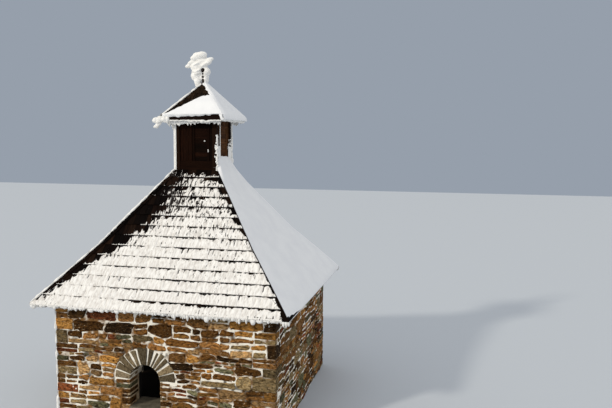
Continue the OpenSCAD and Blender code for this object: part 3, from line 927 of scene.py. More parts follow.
def thin_cover(x, s, row, luck, seed):
    """How well thin snow covers a face whose windward hip is at -x: 1 well covered, below 0 bare."""
    band = bare_band(x, s)
    weak = ramp(s, 1.5, 3.0) * (1.0 - 0.45 * ramp(x, -0.6, 0.6))
    softness = np.interp(s, (0, 1.2, 2.2, 2.8), (0.08, 0.16, 0.24, 0.15))
    cover = np.clip(band / softness, -3, 2.6 - 1.7 * weak)
    under_turret = (SLOPE_LEN - s - 0.16 - 0.05 * ramp(-x, -0.35, 0.2)) / 0.10
    cover = np.minimum(cover, under_turret + 0.3)
    grain = noise(x * 46, s * 9, seed) * 0.9 + noise(x * 17, s * 8, seed + 1) * 0.8
    streak = np.exp(-np.clip(row, 0, None) / 0.06) * ramp(band, -0.34, -0.04)
    cover = cover + grain * (0.8 + 0.3 * weak) + luck * (0.3 + 0.5 * weak) + 1.2 * streak
    cover = cover - 3.2 * weak * ramp(row, 0.4, 0.8) * ramp(-luck, 0.1, 0.5)
    strip = np.interp(s, STRIP_S, STRIP_W) * (1 + 0.6 * noise(s * 9, 0.5, seed + 2))
    on_butt = (row < 0.24) & (s > 0.3)
    return np.minimum(cover, (slope_half(s) - x - np.where(on_butt, 0.0, strip)) / 0.010)


def line_gap(x, index, seed):
    """Bare share of a course under the butts of the next one, which makes the dark lines."""
    reach = 1.0
    if index < 3:
        reach = ramp(x, -1.7, 0.2)
    elif index < 7:
        reach = 0.45 + 0.55 * ramp(x, -1.2, 0.3)
    rag = 0.04 * noise(x * 2.3, index * 3.7, seed + 3) + 0.07 * noise(x * 9, index * 1.7, seed + 4)
    rag = rag + 0.11 * noise(x * 33, index * 1.3, seed + 5)
    return np.interp(index, LINE_COURSE, LINE_WIDTH) * reach + rag - 0.03 * (1 - reach)


def speck_cover(x, s, row, index, seed):
    """Tint of the thin snow, 1 where it is whole and lower where bare specks show."""
    cover = 0.86 - 0.12 * ramp(s, 0.7, 1.3) - 0.29 * ramp(s, 1.2, 2.9)
    cover = cover - 0.32 * (1 - ramp(bare_band(x, s), -0.05, 0.6)) * ramp(s, 0.5, 1.3)
    cover = cover + 0.18 * rough(x * 1.9, s * 2.3, seed + 8)
    cover = cover - 0.22 * ramp(row, 0.72, 0.95) * ramp(s, 0.6, 1.6)
    if index == 0:
        cover = cover - 0.45 * np.exp(-((row - 0.2) / 0.05) ** 2) * ramp(x, -1.2, 0.4)
    return np.clip(cover, 0, 1)


def snow_course(skin, side, index, wind_end, seed, rng):
    """The snow on one course of a face, shingle by shingle."""
    joints = course_joints(index, side)
    widths = np.diff(joints)
    n = len(widths)
    chances = (rng.uniform(-1, 1, n), rng.uniform(0.010, 0.016, n), rng.random(n), rng.uniform(0.12, 0.6, n))
    luck, thickness, slot_chance, slot_end = (np.repeat(values, len(PARTS)) for values in chances)
    x = (joints[:-1, None] + widths[:, None] * PARTS).ravel()
    row = np.broadcast_to(ROWS[:, None], (len(ROWS), len(x)))
    x, s = np.broadcast_to(x, row.shape), (index + row) * COURSE
    wind_x = -x * (wind_end or -1)
    if wind_end:
        cover, gap = thin_cover(wind_x, s, row, luck, seed), line_gap(wind_x, index, seed)
        whole = speck_cover(wind_x, s, row, index, seed)
    else:
        cover, gap = full_cover(x, s, luck, seed), 0.03 + 0.05 * noise(x * 3, index * 3.3, seed + 3)
        whole = np.full(s.shape, 0.95)
        thickness = thickness * 1.6
    dark = (slot_chance < 0.05 + 0.16 * (index > 5)) & (np.abs(row - 0.95) < slot_end)
    faint = 0.25 + 0.8 * ramp(noise(wind_x * 9, s * 6 + index * 7, seed + 6), 0.1, 0.7)
    depth = np.minimum(thickness * nose(row + 0.016, 0.06), thickness * cover)
    depth = depth + 0.0018 * noise(x * 34, s * 22, seed + 7)
    depth = depth - np.tile(GROOVE, n) * np.where(dark, 2.6, faint) * thickness
    depth = np.minimum(depth, thickness * np.clip((1 - gap - row) / 0.05, -1, 1) * 1.4)
    depth = depth + STEP * ramp(-gap, -0.01, 0.02) * ramp(row, 0.90, 1.0) * (cover > 0.3)
    depth = np.maximum(depth, -0.006)
    from_hip = slope_half(s) - np.abs(x)
    base = np.where(row < 0, -0.010, -STEP * row)
    base = base + HIP_SHINGLE_RISE * ramp(HIP_SHINGLE_W + 0.012 - from_hip, 0, 0.012)
    limit = slope_half(s) - 0.002
    points = on_slope(np.clip(x, -limit, limit), s, base + depth)
    keep = (depth > HIDDEN_DEPTH) & (from_hip > -0.03) & (s < SLOPE_LEN + 0.01)
    skin.grid(turned(points, side), keep, np.repeat(whole.reshape(-1, 1), 3, axis=1))


def thin_snow(side, wind_end, seed):
    """A skin of snow and rime on each course of one face, thin enough to leave the butts dark.

    wind_end is the sign of x at the windward hip, or 0 for the windward face itself.
    """
    skin = Skin()
    rng = np.random.default_rng(seed)
    for index in range(COURSES):
        snow_course(skin, side, index, wind_end, seed, rng)
    skin.piece(SIDE_NAMES[side] + "_thin_snow", THIN_SNOW[side % 2], "snow")


# Thick snow

def blanket_height(x, s):
    """Upright depth of the packed snow on the lee face: x from the near hip at -half to the far one."""
    half = slope_half(s)
    depth = 0.062 + 0.014 * noise(x * 0.9, s * 1.1, 7) + 0.005 * noise(x * 3, s * 3, 8)
    depth = depth * (0.4 + 0.6 * ramp(x + half, 0, 0.4)) * (0.5 + 0.5 * ramp(half - x, 0.0, 0.5))
    bare_corner = 0.09 * ramp(-x, 1.35, 2.5)
    depth = depth * ramp(s, bare_corner - 0.03, bare_corner + 0.05) ** 0.5
    depth = depth * np.interp(s, (0, 0.35), (0.6, 1.0))
    depth = depth - 0.012 * (s < bare_corner - 0.01)
    heap = 0.20 * np.clip(1 - (SLOPE_LEN - s) / 0.50, 0, 1) ** 1.3
    heap = heap * ramp(half + x, -0.03, 0.13) * (0.45 + 0.55 * ramp(half - x, 0.0, 0.16))
    heap = heap * (1 + 0.08 * noise(x * 6, s * 6, 9))
    return depth / math.cos(UPPER_PITCH) * 0.75 + heap


def roof_blanket():
    """Smooth wind-packed snow on the lee face, heaped against the turret."""
    lower = (-0.004, 0.0, 0.006, 0.014, 0.03, *np.linspace(0.06, SLOPE_LEN - 0.5, 84))
    v, s = slope_grid(91, lower, SLOPE_LEN - 0.48, SLOPE_LEN, 34, eased=True)
    x = v * (slope_half(s) + 0.001)
    points = on_slope(x, np.maximum(s, 0))
    points[..., 2] += blanket_height(x, s) * nose(s + 0.004, 0.05) - 0.012 * (s < 0)
    under = on_slope(x[:1], np.zeros_like(x[:1]), -0.02)
    tuck = points[-1:] + (0, 0.06, 0)
    skin = Skin()
    skin.grid(turned(np.concatenate([under, points, tuck]), RIGHT))
    skin.piece("roof_blanket", SNOW, "snow", ["roof_snow"])


# Rime in ridges, fringes, clumps and lumps

def rime_ridge(skin, start, end, radius, seed, spacing=0.025, sink=0.3, uneven=0.35):
    """A lumpy ridge of rime along a line."""
    start, end = np.array(start, float), np.array(end, float)
    length = np.linalg.norm(end - start)
    t = np.linspace(0, 1, int(length / spacing))[:, None]
    angle = np.linspace(0, 2 * math.pi, 11)[None, :]
    along = (end - start) / length
    side = np.cross(along, (0.01, 0, 1))
    side /= np.linalg.norm(side)
    up = np.cross(side, along)
    place = t * length
    size = 1 + uneven * noise(place * 11, 0 * angle, seed) + 0.3 * noise(place * 23, angle * 1.3, seed + 1)
    size = radius * size * np.sqrt(np.clip(np.minimum(t, 1 - t) * length / radius, 0.05, 1))
    centre = start + (end - start) * t - up * radius * sink
    out, rise = (size * np.cos(angle))[..., None], (size * np.sin(angle))[..., None]
    skin.grid((centre[:, None] + side * out + up * rise)[:, ::-1])


# Section of a fringe of rime from its root outwards: how far it bulges, and how far down that is
FRINGE = ((0.0, 0.012), (0.45, 0.0), (1.0, 0.18), (1.1, 0.5),
          (0.85, 0.85), (0.55, 1.0), (0.2, 0.85), (0.0, 0.2))


def curtain(skin, side, half, top_z, face, lengths, thick, seed):
    """A fringe of rime teeth along a straight lower edge, at distance face from the middle."""
    base, tooth = lengths
    x = np.arange(-half, half + 0.005, 0.011)
    spikes = np.clip(noise(x * 31, 0.5, seed), 0, 1) ** 0.8 * (0.55 + 0.45 * noise(x * 5, 1.5, seed + 1))
    length = base * (1 + 0.35 * noise(x * 3.1, 2.5, seed + 2)) + tooth * spikes
    rows = []
    for bulge, down in FRINGE:
        depth = face - thick + thick * bulge * (1 - 0.45 * down)
        wave = 0.3 * thick * noise(x * 24, down * 3, seed + 4) * (0.2 < bulge)
        rows.append(np.stack([x, -np.minimum(depth + wave, face), top_z - length * down], -1))
    skin.grid(turned(np.stack(rows), side))


def ellipsoid(centre, radii, lean=0.0):
    """A ball with three radii, leaning from the upright towards +X by an angle in degrees."""
    bm = bmesh.new()
    bmesh.ops.create_icosphere(bm, subdivisions=2, radius=1)
    points = np.array([v.co for v in bm.verts]) * radii
    faces = np.array([[v.index for v in f.verts] for f in bm.faces])
    bm.free()
    turn = math.radians(lean)
    x = points[:, 0] * math.cos(turn) + points[:, 2] * math.sin(turn)
    z = points[:, 2] * math.cos(turn) - points[:, 0] * math.sin(turn)
    return np.stack([x, points[:, 1], z], -1) + centre, faces


def lump_row(start, end, size, seed, count, spread=0.3):
    """Balls of uneven size along a line."""
    rng = np.random.default_rng(seed)
    start, end = np.array(start, float), np.array(end, float)
    balls = []
    for t in np.linspace(0, 1, count):
        place = start + (end - start) * t + rng.normal(0, spread * size, 3)
        # A ball takes seven numbers of the series and uses three, which the chosen seeds count on
        balls.append(ellipsoid(place, size * rng.uniform(0.6, 1.25, 7)[:3]))
    return balls


def fused(balls, voxel, seed, streak=0.0, grain=0.006, smooth=1):
    """Points and faces of balls fused into one lumpy surface, with level streaks and grains on top."""
    gathered = Skin()
    for ball in balls:
        gathered.add(*ball)
    obj = placed("balls", gathered.mesh("balls", np.concatenate(gathered.points)))
    remesh = obj.modifiers.new("fuse", "REMESH")
    remesh.mode, remesh.voxel_size = "VOXEL", voxel
    soften = obj.modifiers.new("soften", "SMOOTH")
    soften.factor, soften.iterations = 0.5, smooth
    mesh = bpy.data.meshes.new_from_object(obj.evaluated_get(bpy.context.evaluated_depsgraph_get()))
    points, normals = np.empty((2, 3 * len(mesh.vertices)))
    mesh.vertices.foreach_get("co", points)
    mesh.vertices.foreach_get("normal", normals)
    points, normals = points.reshape(-1, 3), normals.reshape(-1, 3)
    faces = np.array([list(f.vertices) for f in mesh.polygons])
    x, y, z = points.T
    bump = streak * noise(x * 9 + z * 4, z * 62 + x * 22 + y * 8, seed)
    bump = bump + grain * rough(x * 34 + y * 20, z * 40 + y * 27, seed + 1, 2)
    balls_mesh = obj.data
    bpy.data.objects.remove(obj)
    for spent in (balls_mesh, mesh):
        bpy.data.meshes.remove(spent)
    return points + normals * bump[:, None], faces


# Section of a clump of rime: how far behind the eaves, and what share of its drop is below them
CLUMP = ((0.050, -0.25), (0.020, -0.30), (0.004, -0.12), (0.0, 0.15), (0.002, 0.5), (0.012, 0.8),
         (0.028, 1.0), (0.048, 0.8), (0.060, 0.3))
CLUMP_POINTS = 9


def clump(skin, side, start, end, drop, upwind, rng):
    """One clump of rime that hangs from the eaves between two places along them."""
    t = np.linspace(-1, 1, CLUMP_POINTS)
    round_off = np.sqrt(np.clip(1 - np.abs(t) ** 2.6, 0, 1))
    spread = (end - start) / 2 + rng.uniform(-0.003, 0.005)
    along = (start + end) / 2 + t * spread + rng.normal(0, 0.0015, CLUMP_POINTS)
    along = np.clip(along, -EAVE_HALF, EAVE_HALF)
    rows = []
    for inward, down in CLUMP:
        reach = down * drop * (0.25 + 0.75 * round_off) if down > 0 else down * 0.05
        inset = inward + 0.022 * (1 - round_off) * (1 - upwind) + 0.004 * rng.random(CLUMP_POINTS)
        rows.append(np.stack([along, -EAVE_HALF + inset, EAVE_Z - 0.006 - reach + 0 * along], -1))
    skin.grid(turned(np.stack(rows), side))


def eaves_rime(side, wind_end, length, seed):
    """Clumps of rime that hang from the first shingles of one side. wind_end is the sign of x upwind."""
    rng = np.random.default_rng(seed)
    skin = Skin()
    for x0, x1 in pairwise(course_joints(0, side)):
        upwind = ramp(wind_end * (x0 + x1) / 2, -1.0, 2.3)
        shares = rng.uniform(0.4, 1.6, rng.integers(1, 5))
        cuts = np.clip(x0 + (x1 - x0) * np.cumsum([0, *shares]) / shares.sum(), -EAVE_HALF, EAVE_HALF)
        for start, end in pairwise(cuts):
            if end - start > 0.006:
                narrow = min(1.0, (end - start) / 0.05)
                drop = length * rng.uniform(0.25, 1.5) * (1.15 - 0.45 * upwind) * (0.55 + 0.45 * narrow)
                clump(skin, side, start, end, drop, upwind, rng)
    lengths = (0.5 * length, 0.4 * length)
    curtain(skin, side, EAVE_HALF - 0.03, EAVE_Z - 0.02, EAVE_HALF - 0.04, lengths, 0.05, seed + 1)
    for end in (wind_end,) if wind_end else (-1, 1):
        inner = (end * (EAVE_HALF - 0.12), -EAVE_HALF + 0.06, EAVE_Z)
        outer = (end * (EAVE_HALF - 0.04), -EAVE_HALF + 0.06, EAVE_Z - 0.05)
        corner = lump_row(inner, outer, 0.04, seed + 2, 8, 0.25)
        points, faces = fused(corner, 0.012, seed + 3)
        skin.add(turned(points, side), faces)
    skin.piece(SIDE_NAMES[side] + "_eaves_rime", RIME, "snow")


def hip_rime():
    """Rime banked up along the two windward hips, in a straight ridge below the bend and one above it."""
    skin = Skin()
    for mirror in (1, -1):
        for span in ((0.02, FLARE_LEN), (FLARE_LEN - 0.03, SLOPE_LEN)):
            ends = []
            for s in span:
                half = float(slope_half(s))
                ends.append((-half - 0.012, -half * mirror, float(on_slope(0, s)[2]) + 0.012))
            rime_ridge(skin, *ends, 0.020, 400 + mirror + int(10 * span[0]), 0.018, 0.1, 0.6)
    skin.piece("hip_rime", RIME, "snow")


def crust(skin, side, x_span, z_span, face, depth, seed, step=0.01, patchy=0.0):
    """Rime on an upright face, with uneven depth and an uneven outline."""
    x, z = upright_grid(x_span, z_span, step)
    edge = np.minimum.reduce([x - x_span[0], x_span[1] - x, z - z_span[0], z_span[1] - z])
    out = depth * (0.75 + 0.35 * rough(x * 9, z * 13, seed) + 0.15 * noise(x * 40, z * 33, seed + 5))
    patches = 1 + 1.3 * noise(x * 2.3, z * 2.0, seed + 6) + 0.6 * noise(x * 9, z * 8, seed + 7)
    out = out - patchy * depth * patches
    out = np.minimum(out, depth * np.sqrt(np.clip(edge + 0.004, 0, 1) / 0.02))
    points = np.stack([x, -face - np.maximum(out, -0.008), z], -1)
    skin.grid(turned(points, side), out > -0.006)


def wall_rime():
    """Patches of rime on the windward wall, thickest towards its front edge and under the eaves."""
    x, z = upright_grid((-WALL_HALF, WALL_HALF), (0.0, WALL_TOP - 0.035), WALL_CELL)
    patch = rough(x * 1.3, z * 1.5, 610) + 0.5 * rough(x * 8, z * 10, 612)
    patch = patch + 1.5 * ramp(np.abs(x), WALL_HALF - 0.16, WALL_HALF) + 0.7 * ramp(z, 1.9, 2.5) - 0.25
    out = 0.016 + 0.016 * np.clip(patch, -2, 1.4) + 0.005 * noise(x * 33, z * 30, 615)
    doorway = in_opening(x, z, OPENINGS[LEFT], 0.05, 0.05)
    out = np.where(doorway, -0.01, out)
    patches, edge = Skin(), Skin()
    patches.grid(turned(np.stack([x, -WALL_HALF - out, z], -1), LEFT), (out > 0.004) & ~doorway)
    corner_x = -WALL_HALF - 0.018
    for y in (-WALL_HALF, WALL_HALF):
        rime_ridge(edge, (corner_x, y, 0.01), (corner_x, y, WALL_TOP - 0.05), 0.021, 617, 0.018, 0, 0.9)
    patches.piece("windward_wall_rime", RIME, "snow")
    edge.piece("windward_corner_rime", RIME, "snow")


# Turret

TURRET_RGB = tints((28, 12, 4), (21, 9, 3), (37, 17, 7))
PANEL_RGB = tints((104, 68, 40), (88, 56, 32))
RAIL_TOP, HATCH_TOP = ROOF_TOP_Z + 0.18, 5.918
STILE_W = 0.05
# Ends of the hatch and colours of the boards, by side
TURRET_SIDES = {
    FRONT: (-0.08, 0.30, TURRET_RGB),
    RIGHT: (-0.21, 0.24, PANEL_RGB),
    BACK: (-0.19, 0.19, TURRET_RGB),
    LEFT: (-0.19, 0.19, TURRET_RGB),
}


def turret_side(side, left, right, shades):
    """Upright boards, a hatch of level boards in its frame, and the rails of one side of the turret."""
    rng = np.random.default_rng(600 + side)
    boards, rails = Skin(), Skin()
    whole = (-PANEL_HALF, PANEL_HALF)

    def plank(skin, x_span, z_span, face, thick, brightness=1.0):
        """A plank whose outer face is at a distance from the middle."""
        shade = shades[rng.integers(len(shades))] * rng.uniform(0.8, 1.3) * brightness
        skin.block((x_span[0], -face, z_span[0]), (x_span[1], -face + thick, z_span[1]),
                   side, 0.004, tint=shade, lumps=0, cuts=(1,))

    x = -PANEL_HALF
    while x < PANEL_HALF - 0.01:
        following = min(x + rng.uniform(0.075, 0.115), PANEL_HALF)
        following = PANEL_HALF if PANEL_HALF - following < 0.04 else following
        face = PANEL_FACE - 0.014 + rng.uniform(-0.002, 0.002)
        foot = HATCH_TOP if following > left and x < right else RAIL_TOP - 0.02
        plank(boards, (x + 0.0015, following - 0.0015), (foot, TURRET_HIGH - 0.08), face, 0.022)
        x = following
    for stile in (left, right - STILE_W):
        plank(boards, (stile, stile + STILE_W), (RAIL_TOP, HATCH_TOP), PANEL_FACE - 0.002, 0.034, 1.2)
    # The board behind the boards beside the hatch is darker, at 0.7: painted shade in its recess
    beside = (-PANEL_HALF, left - 0.002)
    plank(boards, beside, (RAIL_TOP - 0.02, HATCH_TOP + 0.02), PANEL_FACE - 0.03, 0.03, 0.7)
    z = RAIL_TOP
    while z < HATCH_TOP - 0.03:
        following = min(z + rng.uniform(0.085, 0.11), HATCH_TOP)
        face = PANEL_FACE - 0.014 - rng.uniform(0, 0.004)
        plank(rails, (left + 0.048, right - 0.048), (z + 0.002, following + 0.004), face, 0.026)
        z = following
    plank(rails, whole, (ROOF_TOP_Z - 0.03, RAIL_TOP), PANEL_FACE + 0.002, 0.04, 1.3)
    plank(rails, (left - 0.01, right + 0.01), (HATCH_TOP - 0.03, HATCH_TOP + 0.035), PANEL_FACE, 0.04, 1.1)
    plank(rails, whole, (TURRET_HIGH - 0.11, TURRET_HIGH), PANEL_FACE + 0.002, 0.04)
    # A thin board behind all the others, at half brightness: painted shade that shows through the gaps
    plank(rails, whole, (ROOF_TOP_Z - 0.05, TURRET_HIGH), PANEL_FACE - 0.045, 0.012, 0.5)
    name = "turret_" + SIDE_NAMES[side]
    boards.piece(name + "_boards", TURRET_WOOD, "turret_wood", [name + "_panel"], smooth=False)
    rails.piece(name + "_rails", LEVEL_WOOD[side % 2], "turret_wood", smooth=False)


# Heights that the rime reaches on the right side: on the near post, beside the hatch and at the far end
NEAR_RIME_TOP, PANEL_RIME_TOP, FAR_RIME_TOP = 5.76, 5.52, 5.50


def turret_rime():
    """Rime on the turret: thick on the windward side, in strips on the posts."""
    low, high = ROOF_TOP_Z - 0.02, TURRET_HIGH - 0.02
    post, far_post, panel = TURRET_HALF - 0.004, TURRET_HALF - 0.002, PANEL_FACE - 0.004
    skin = Skin()
    for side, x_span, top, face, depth, seed, step, patchy in (
            (LEFT, (-TURRET_HALF, TURRET_HALF + 0.012), high, TURRET_HALF - 0.01, 0.038, 640, 0.018, 0),
            (FRONT, (-TURRET_HALF - 0.03, -TURRET_HALF + 0.03), high, post, 0.022, 650, 0.01, 0),
            (BACK, (TURRET_HALF - 0.04, TURRET_HALF + 0.03), high, post, 0.022, 655, 0.01, 0),
            (RIGHT, (-TURRET_HALF, -PANEL_HALF - 0.02), NEAR_RIME_TOP, post, 0.022, 660, 0.01, 0.2),
            (RIGHT, (-0.25, -0.208), high, panel, 0.016, 670, 0.01, 0),
            (RIGHT, (-0.38, -0.24), PANEL_RIME_TOP, panel, 0.020, 671, 0.01, 0.15),
            (RIGHT, (PANEL_HALF - 0.13, TURRET_HALF), FAR_RIME_TOP, far_post, 0.020, 675, 0.01, 0.1)):
        crust(skin, side, x_span, (low, top), face, depth, seed, step, patchy)
    far = (TURRET_HALF + 0.004, TURRET_HALF)
    beside_hatch = lump_row((0.462, 0.40, 5.66), (0.462, 0.29, 5.46), 0.024, 696, 16, 0.9)
    near_post = lump_row((0.473, -0.468, 5.74), (0.478, -0.470, low), 0.021, 690, 38, 0.45)
    near_post += lump_row((0.444, -0.470, 5.55), (0.446, -0.470, 5.28), 0.017, 692, 12, 0.6)
    specks = [ellipsoid((0.199, -PANEL_FACE, 5.624), (0.022, 0.012, 0.018)),
              ellipsoid((0.276, -PANEL_FACE, 5.422), (0.012, 0.012, 0.034))]
    skin.add(*fused(beside_hatch, 0.008, 697, grain=0.003))
    rime_ridge(skin, (*far, low), (*far, high), 0.032, 680, 0.014, 0, 0.5)
    skin.add(*fused(near_post, 0.008, 694, grain=0.003))
    skin.add(*fused(specks, 0.005, 699))
    skin.piece("turret_rime", RIME, "snow")


# Snow and rime on the cap

# Where the cap's front is bare along its windward hip: width of the bare band at heights up the slope
CAP_BARE_S = (0.0, 0.06, 0.238, 0.387, 0.537, 0.60, 0.99)
CAP_BARE_W = (0.015, 0.06, 0.175, 0.255, 0.36, 0.60, 0.62)
CAP_SNOW = 0.036
# Level of the lumps of snow and rime at the corners of the cap
CORNER_LUMP_Z = 6.07


def cap_swept_snow(side, wind_end, seed):
    """Snow on the front or back of the cap, blown away beside its windward hip and at the top."""
    v, s = slope_grid(81, (-0.05, -0.04, -0.025, -0.01, 0.004), 0.02, CAP_LEN, 56)
    half = cap_half(s)
    x = v * (half + CAP_SNOW * math.sin(CAP_PITCH))
    wind_x = -x * wind_end
    bare = wind_x + half - np.interp(s, CAP_BARE_S, CAP_BARE_W)
    bare = np.maximum(bare, 0.034 - (half - wind_x) + 0.016 * noise(s * 21, 0.5, seed + 4))
    bare = bare + 0.018 * noise(x * 17, s * 15, seed) + 0.008 * noise(x * 50, s * 44, seed + 1)
    thick = CAP_SNOW + 0.004 * noise(x * 7, s * 7, seed + 2) * ramp(half - np.abs(x), 0, 0.1)
    thick = thick - 0.012 * (1 - ramp(half - wind_x, -0.03, 0.06))
    depth = thick * nose(bare, 0.03) - 0.006 * (bare < 0)
    droop = np.interp(wind_x, (-0.66, 0.0, 0.5), (1.0, 0.55, -0.25)) + 0.35 * noise(x * 13, 0.5, seed + 3)
    edge = nose(s + 0.05, 0.05)
    points = on_cap(x, np.maximum(s, 0), depth * edge)
    points[..., 2] += np.minimum(s, 0) * droop
    points[..., 1] -= 0.010 * (s < 0.01) * edge
    skin = Skin()
    skin.grid(turned(points, side), bare > -0.006)
    skin.piece("cap_" + SIDE_NAMES[side] + "_snow", SNOW, "snow")


def cap_lee_snow():
    """Smooth snow on the lee face of the cap, drooping past its edge, with lumps at both corners."""
    v, s = slope_grid(61, (-0.13, -0.13, -0.12, -0.10, -0.07), -0.04, CAP_LEN - 0.01, 52, eased=True)
    thick = CAP_SNOW + (0.020 + 0.006 * noise(v * 4, s * 5, 720)) * ramp(1 - np.abs(v), 0, 0.3)
    thick = thick - 0.012 * (1 - ramp(v + 1, 0, 0.12)) + 0.022 * ramp(v, 0.6, 1.0)
    x = v * (np.minimum(cap_half(s), CAP_HALF + 0.05) + CAP_SNOW * math.sin(CAP_PITCH))
    points = on_cap(x, s, thick * nose(s + 0.13, 0.10))
    points[0] = on_cap(x[0], -0.10, -0.03)
    skin = Skin()
    skin.grid(turned(points, RIGHT))
    for mirror in (1, -1):
        upper = (CAP_HALF - 0.02, -CAP_HALF * mirror, CORNER_LUMP_Z + 0.10)
        lower = (CAP_HALF + 0.02, -(CAP_HALF + 0.005) * mirror, CORNER_LUMP_Z)
        lumps = lump_row(upper, lower, 0.034, 787 + mirror, 9, 0.12)
        skin.add(*fused(lumps, 0.010, 789, grain=0.002, smooth=3))
    skin.piece("cap_right_snow", SNOW, "snow", ["cap_snow"])


def cap_windward_rime():
    """Rime all over the windward face of the cap."""
    v, s = slope_grid(71, (-0.05, -0.05, -0.03), 0.0, CAP_LEN, 60)
    x = v * (cap_half(s) + 0.01)
    depth = 0.026 + 0.012 * rough(x * 12, s * 14, 730)
    depth[0] = -0.03
    skin = Skin()
    skin.grid(turned(on_cap(x, s, depth), LEFT))
    skin.piece("cap_left_rime", RIME, "snow")


def cap_edge_rime():
    """Fringe under the fascia, ridges on the windward hips and the lump at the windward corner."""
    skin = Skin()
    for side, base, tooth in ((FRONT, 0.05, 0.06), (BACK, 0.045, 0.05), (LEFT, 0.06, 0.08)):
        outer, ragged = (base * 0.7, tooth * 0.8), (base * 1.4, tooth * 1.8)
        curtain(skin, side, CAP_HALF - 0.01, FASCIA_LOW + 0.018, CAP_HALF + 0.012, outer, 0.04, 740 + side)
        curtain(skin, side, CAP_HALF - 0.06, FASCIA_LOW + 0.01, CAP_HALF - 0.06, ragged, 0.05, 750 + side)
    curtain(skin, RIGHT, CAP_HALF + 0.02, FASCIA_LOW + 0.03, CAP_HALF + 0.06, (0.04, 0.05), 0.06, 760)
    for mirror in (1, -1):
        foot = (-CAP_HALF - 0.01, -CAP_HALF * mirror - 0.01 * mirror, CAP_Z + 0.012)
        rime_ridge(skin, foot, (-0.03, -0.03 * mirror, APEX_Z - 0.01), 0.018, 770 + mirror, 0.02)
        y, outer_y = -CAP_HALF * mirror, -(CAP_HALF + 0.02) * mirror
        inner = (-CAP_HALF + 0.10, y, CORNER_LUMP_Z)
        outer = (-CAP_HALF - 0.17, outer_y, CORNER_LUMP_Z - 0.01)
        top, tip = (-0.70, outer_y, CORNER_LUMP_Z - 0.02), (-0.79, outer_y, CORNER_LUMP_Z - 0.13)
        lumps = lump_row(inner, outer, 0.064, 780 + mirror, 14, 0.2)
        lumps += lump_row(top, tip, 0.052, 785 + mirror, 8, 0.2)
        skin.add(*fused(lumps, 0.012, 790 + mirror, grain=0.004))
    skin.piece("cap_edge_rime", RIME, "snow")


# Finial

# Lumps of rime: x, z above the ground, radii along x, upright and along y, and lean in degrees
FINIAL_LUMPS = (
    (-0.10, 7.46, 0.15, 0.088, 0.09, 0), (-0.02, 7.48, 0.12, 0.080, 0.09, 0),
    (-0.20, 7.41, 0.10, 0.07, 0.09, 0), (0.13, 7.38, 0.11, 0.05, 0.07, -14),
    (0.12, 7.31, 0.09, 0.05, 0.07, -24), (-0.05, 7.35, 0.18, 0.11, 0.09, 0),
    (-0.26, 7.32, 0.12, 0.055, 0.07, -14), (-0.345, 7.25, 0.085, 0.045, 0.06, -10),
    (-0.14, 7.22, 0.16, 0.12, 0.09, 0), (-0.05, 7.15, 0.17, 0.14, 0.09, 0),
    (0.06, 7.12, 0.10, 0.10, 0.09, 0), (-0.175, 7.04, 0.12, 0.12, 0.09, 0),
    (0.0, 7.02, 0.12, 0.11, 0.09, 0), (0.05, 6.96, 0.06, 0.09, 0.09, 0),
    (-0.13, 6.93, 0.085, 0.11, 0.07, 0), (-0.15, 6.85, 0.055, 0.08, 0.06, 0),
)
# Places where the front of the rime is flat, so that the orb and the rod show: x, z and radius
FINIAL_HOLLOWS = ((0.0, 7.15, 0.046), (0.0, 7.075, 0.022), (0.0, 7.01, 0.028), (0.0, 6.94, 0.03))


def finial_rime():
    """Rime grown into the wind on the finial: feathers that reach towards -X from the cross and the rod."""
    rng = np.random.default_rng(800)
    balls = []

    def lump(x, z, radius_x, radius_z, radius_y, lean):
        balls.append(ellipsoid((x, rng.uniform(-0.02, 0.04), z), (radius_x, radius_y, radius_z), lean))

    for row in FINIAL_LUMPS:
        lump(*row)
    for _ in range(9):
        z = rng.uniform(7.05, 7.45)
        x = rng.uniform(-0.19, 0.0) if z < 7.25 else rng.uniform(-0.24, 0.06)
        radii = rng.uniform(0.10, 0.14), rng.uniform(0.035, 0.05), rng.uniform(0.09, 0.12)
        lump(x, z, *radii, rng.uniform(-26, -12))
    points, faces = fused(balls, 0.011, 810, streak=0.004, grain=0.001, smooth=7)
    for x, z, radius in FINIAL_HOLLOWS:
        inside = (np.hypot(points[:, 0] - x, points[:, 2] - z) < radius) & (points[:, 1] < 0.0)
        points[inside, 1] = 0.0
    skin = Skin()
    skin.add(points, faces)
    skin.piece("finial_rime", RIME, "snow", ["cross_rime"])


# Stage, light and camera

def stage():
    """A plain pale floor."""
    mesh = bpy.data.meshes.new("floor")
    far = 60.0
    mesh.from_pydata([(-far, -far, 0), (far, -far, 0), (far, far, 0), (-far, far, 0)], [], [(0, 1, 2, 3)])
    look = Look("floor")
    look.shader.inputs["Base Color"].default_value = colour(190, 196, 203)
    look.shader.inputs["Roughness"].default_value = 0.9
    mesh.materials.append(look.material)
    placed("floor", mesh)


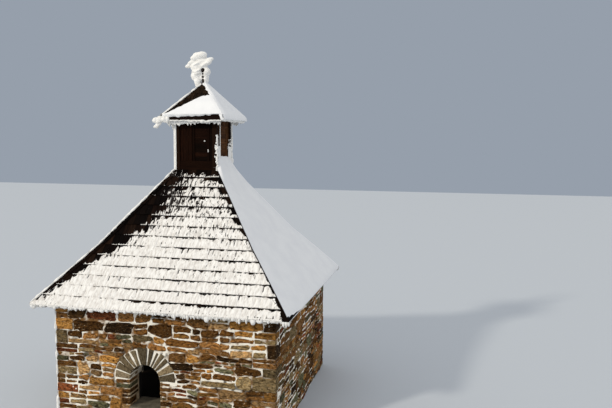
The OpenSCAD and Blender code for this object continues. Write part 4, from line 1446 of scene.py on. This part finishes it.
def world_light():
    """An even cool sky that the camera and reflections see as a plain grey backdrop."""
    world = bpy.data.worlds.new("world")
    bpy.context.scene.world = world
    nodes = Nodes(world)
    light = nodes.tree.nodes["Background"]
    light.inputs["Color"].default_value = (0.972, 0.985, 1.0, 1)
    light.inputs["Strength"].default_value = 0.76
    seen = nodes.add("Background", {"Color": colour(150, 159, 171), "Strength": 1.0})
    rays = nodes.add("LightPath").outputs
    shown = rays["Is Camera Ray"]
    for kind in ("Is Glossy Ray", "Is Transmission Ray"):
        shown = nodes.math("MAXIMUM", shown, rays[kind])
    mixed = nodes.add("MixShader", {"Fac": shown, 1: light.outputs[0], 2: seen.outputs[0]})
    nodes.tree.links.new(mixed.outputs[0], nodes.tree.nodes["World Output"].inputs["Surface"])


def sun(direction, strength, angle, shade):
    """A soft sun that shines along a direction."""
    data = bpy.data.lights.new("sun", "SUN")
    data.energy, data.angle, data.color = strength, math.radians(angle), shade
    lamp = placed("sun", data)
    lamp.rotation_mode = "QUATERNION"
    lamp.rotation_quaternion = Vector(direction).to_track_quat("-Z", "Y")


def camera():
    """The photograph's viewpoint."""
    photo_width_px, focal_px = 612, 650
    place = Vector((5.3293, -13.5005, 5.6483))
    yaw, pitch, roll = -0.2202, -0.0973, 0.0068
    ahead = Vector((math.sin(yaw) * math.cos(pitch), math.cos(yaw) * math.cos(pitch), math.sin(pitch)))
    right = Vector((math.cos(yaw), -math.sin(yaw), 0))
    up = right.cross(ahead)
    across = right * math.cos(roll) + up * math.sin(roll)
    upright = up * math.cos(roll) - right * math.sin(roll)
    data = bpy.data.cameras.new("camera")
    data.sensor_width = 36
    data.lens = focal_px / photo_width_px * data.sensor_width
    data.clip_end = 300
    cam = placed("camera", data)
    cam.matrix_world = Matrix.Translation(place) @ Matrix((across, upright, -ahead)).transposed().to_4x4()
    bpy.context.scene.camera = cam


dress_cad_nodes()
stone_walls()
for side in range(4):
    roof_shingles(side)
hip_shingles()
thin_snow(FRONT, -1, 500)
thin_snow(BACK, 1, 520)
thin_snow(LEFT, 0, 540)
roof_blanket()
eaves_rime(FRONT, -1, 0.075, 300)
eaves_rime(LEFT, 0, 0.09, 310)
eaves_rime(BACK, 1, 0.065, 320)
hip_rime()
wall_rime()
for side, (left, right, shades) in TURRET_SIDES.items():
    turret_side(side, left, right, shades)
turret_rime()
cap_shingles()
cap_swept_snow(FRONT, -1, 710)
cap_swept_snow(BACK, 1, 714)
cap_lee_snow()
cap_windward_rime()
cap_edge_rime()
finial_rime()

stage()
world_light()
sun((0.62, 0.76, -0.5), 1.62, 4, (1.0, 0.92, 0.78))
camera()
bpy.context.scene.view_settings.view_transform = "Standard"
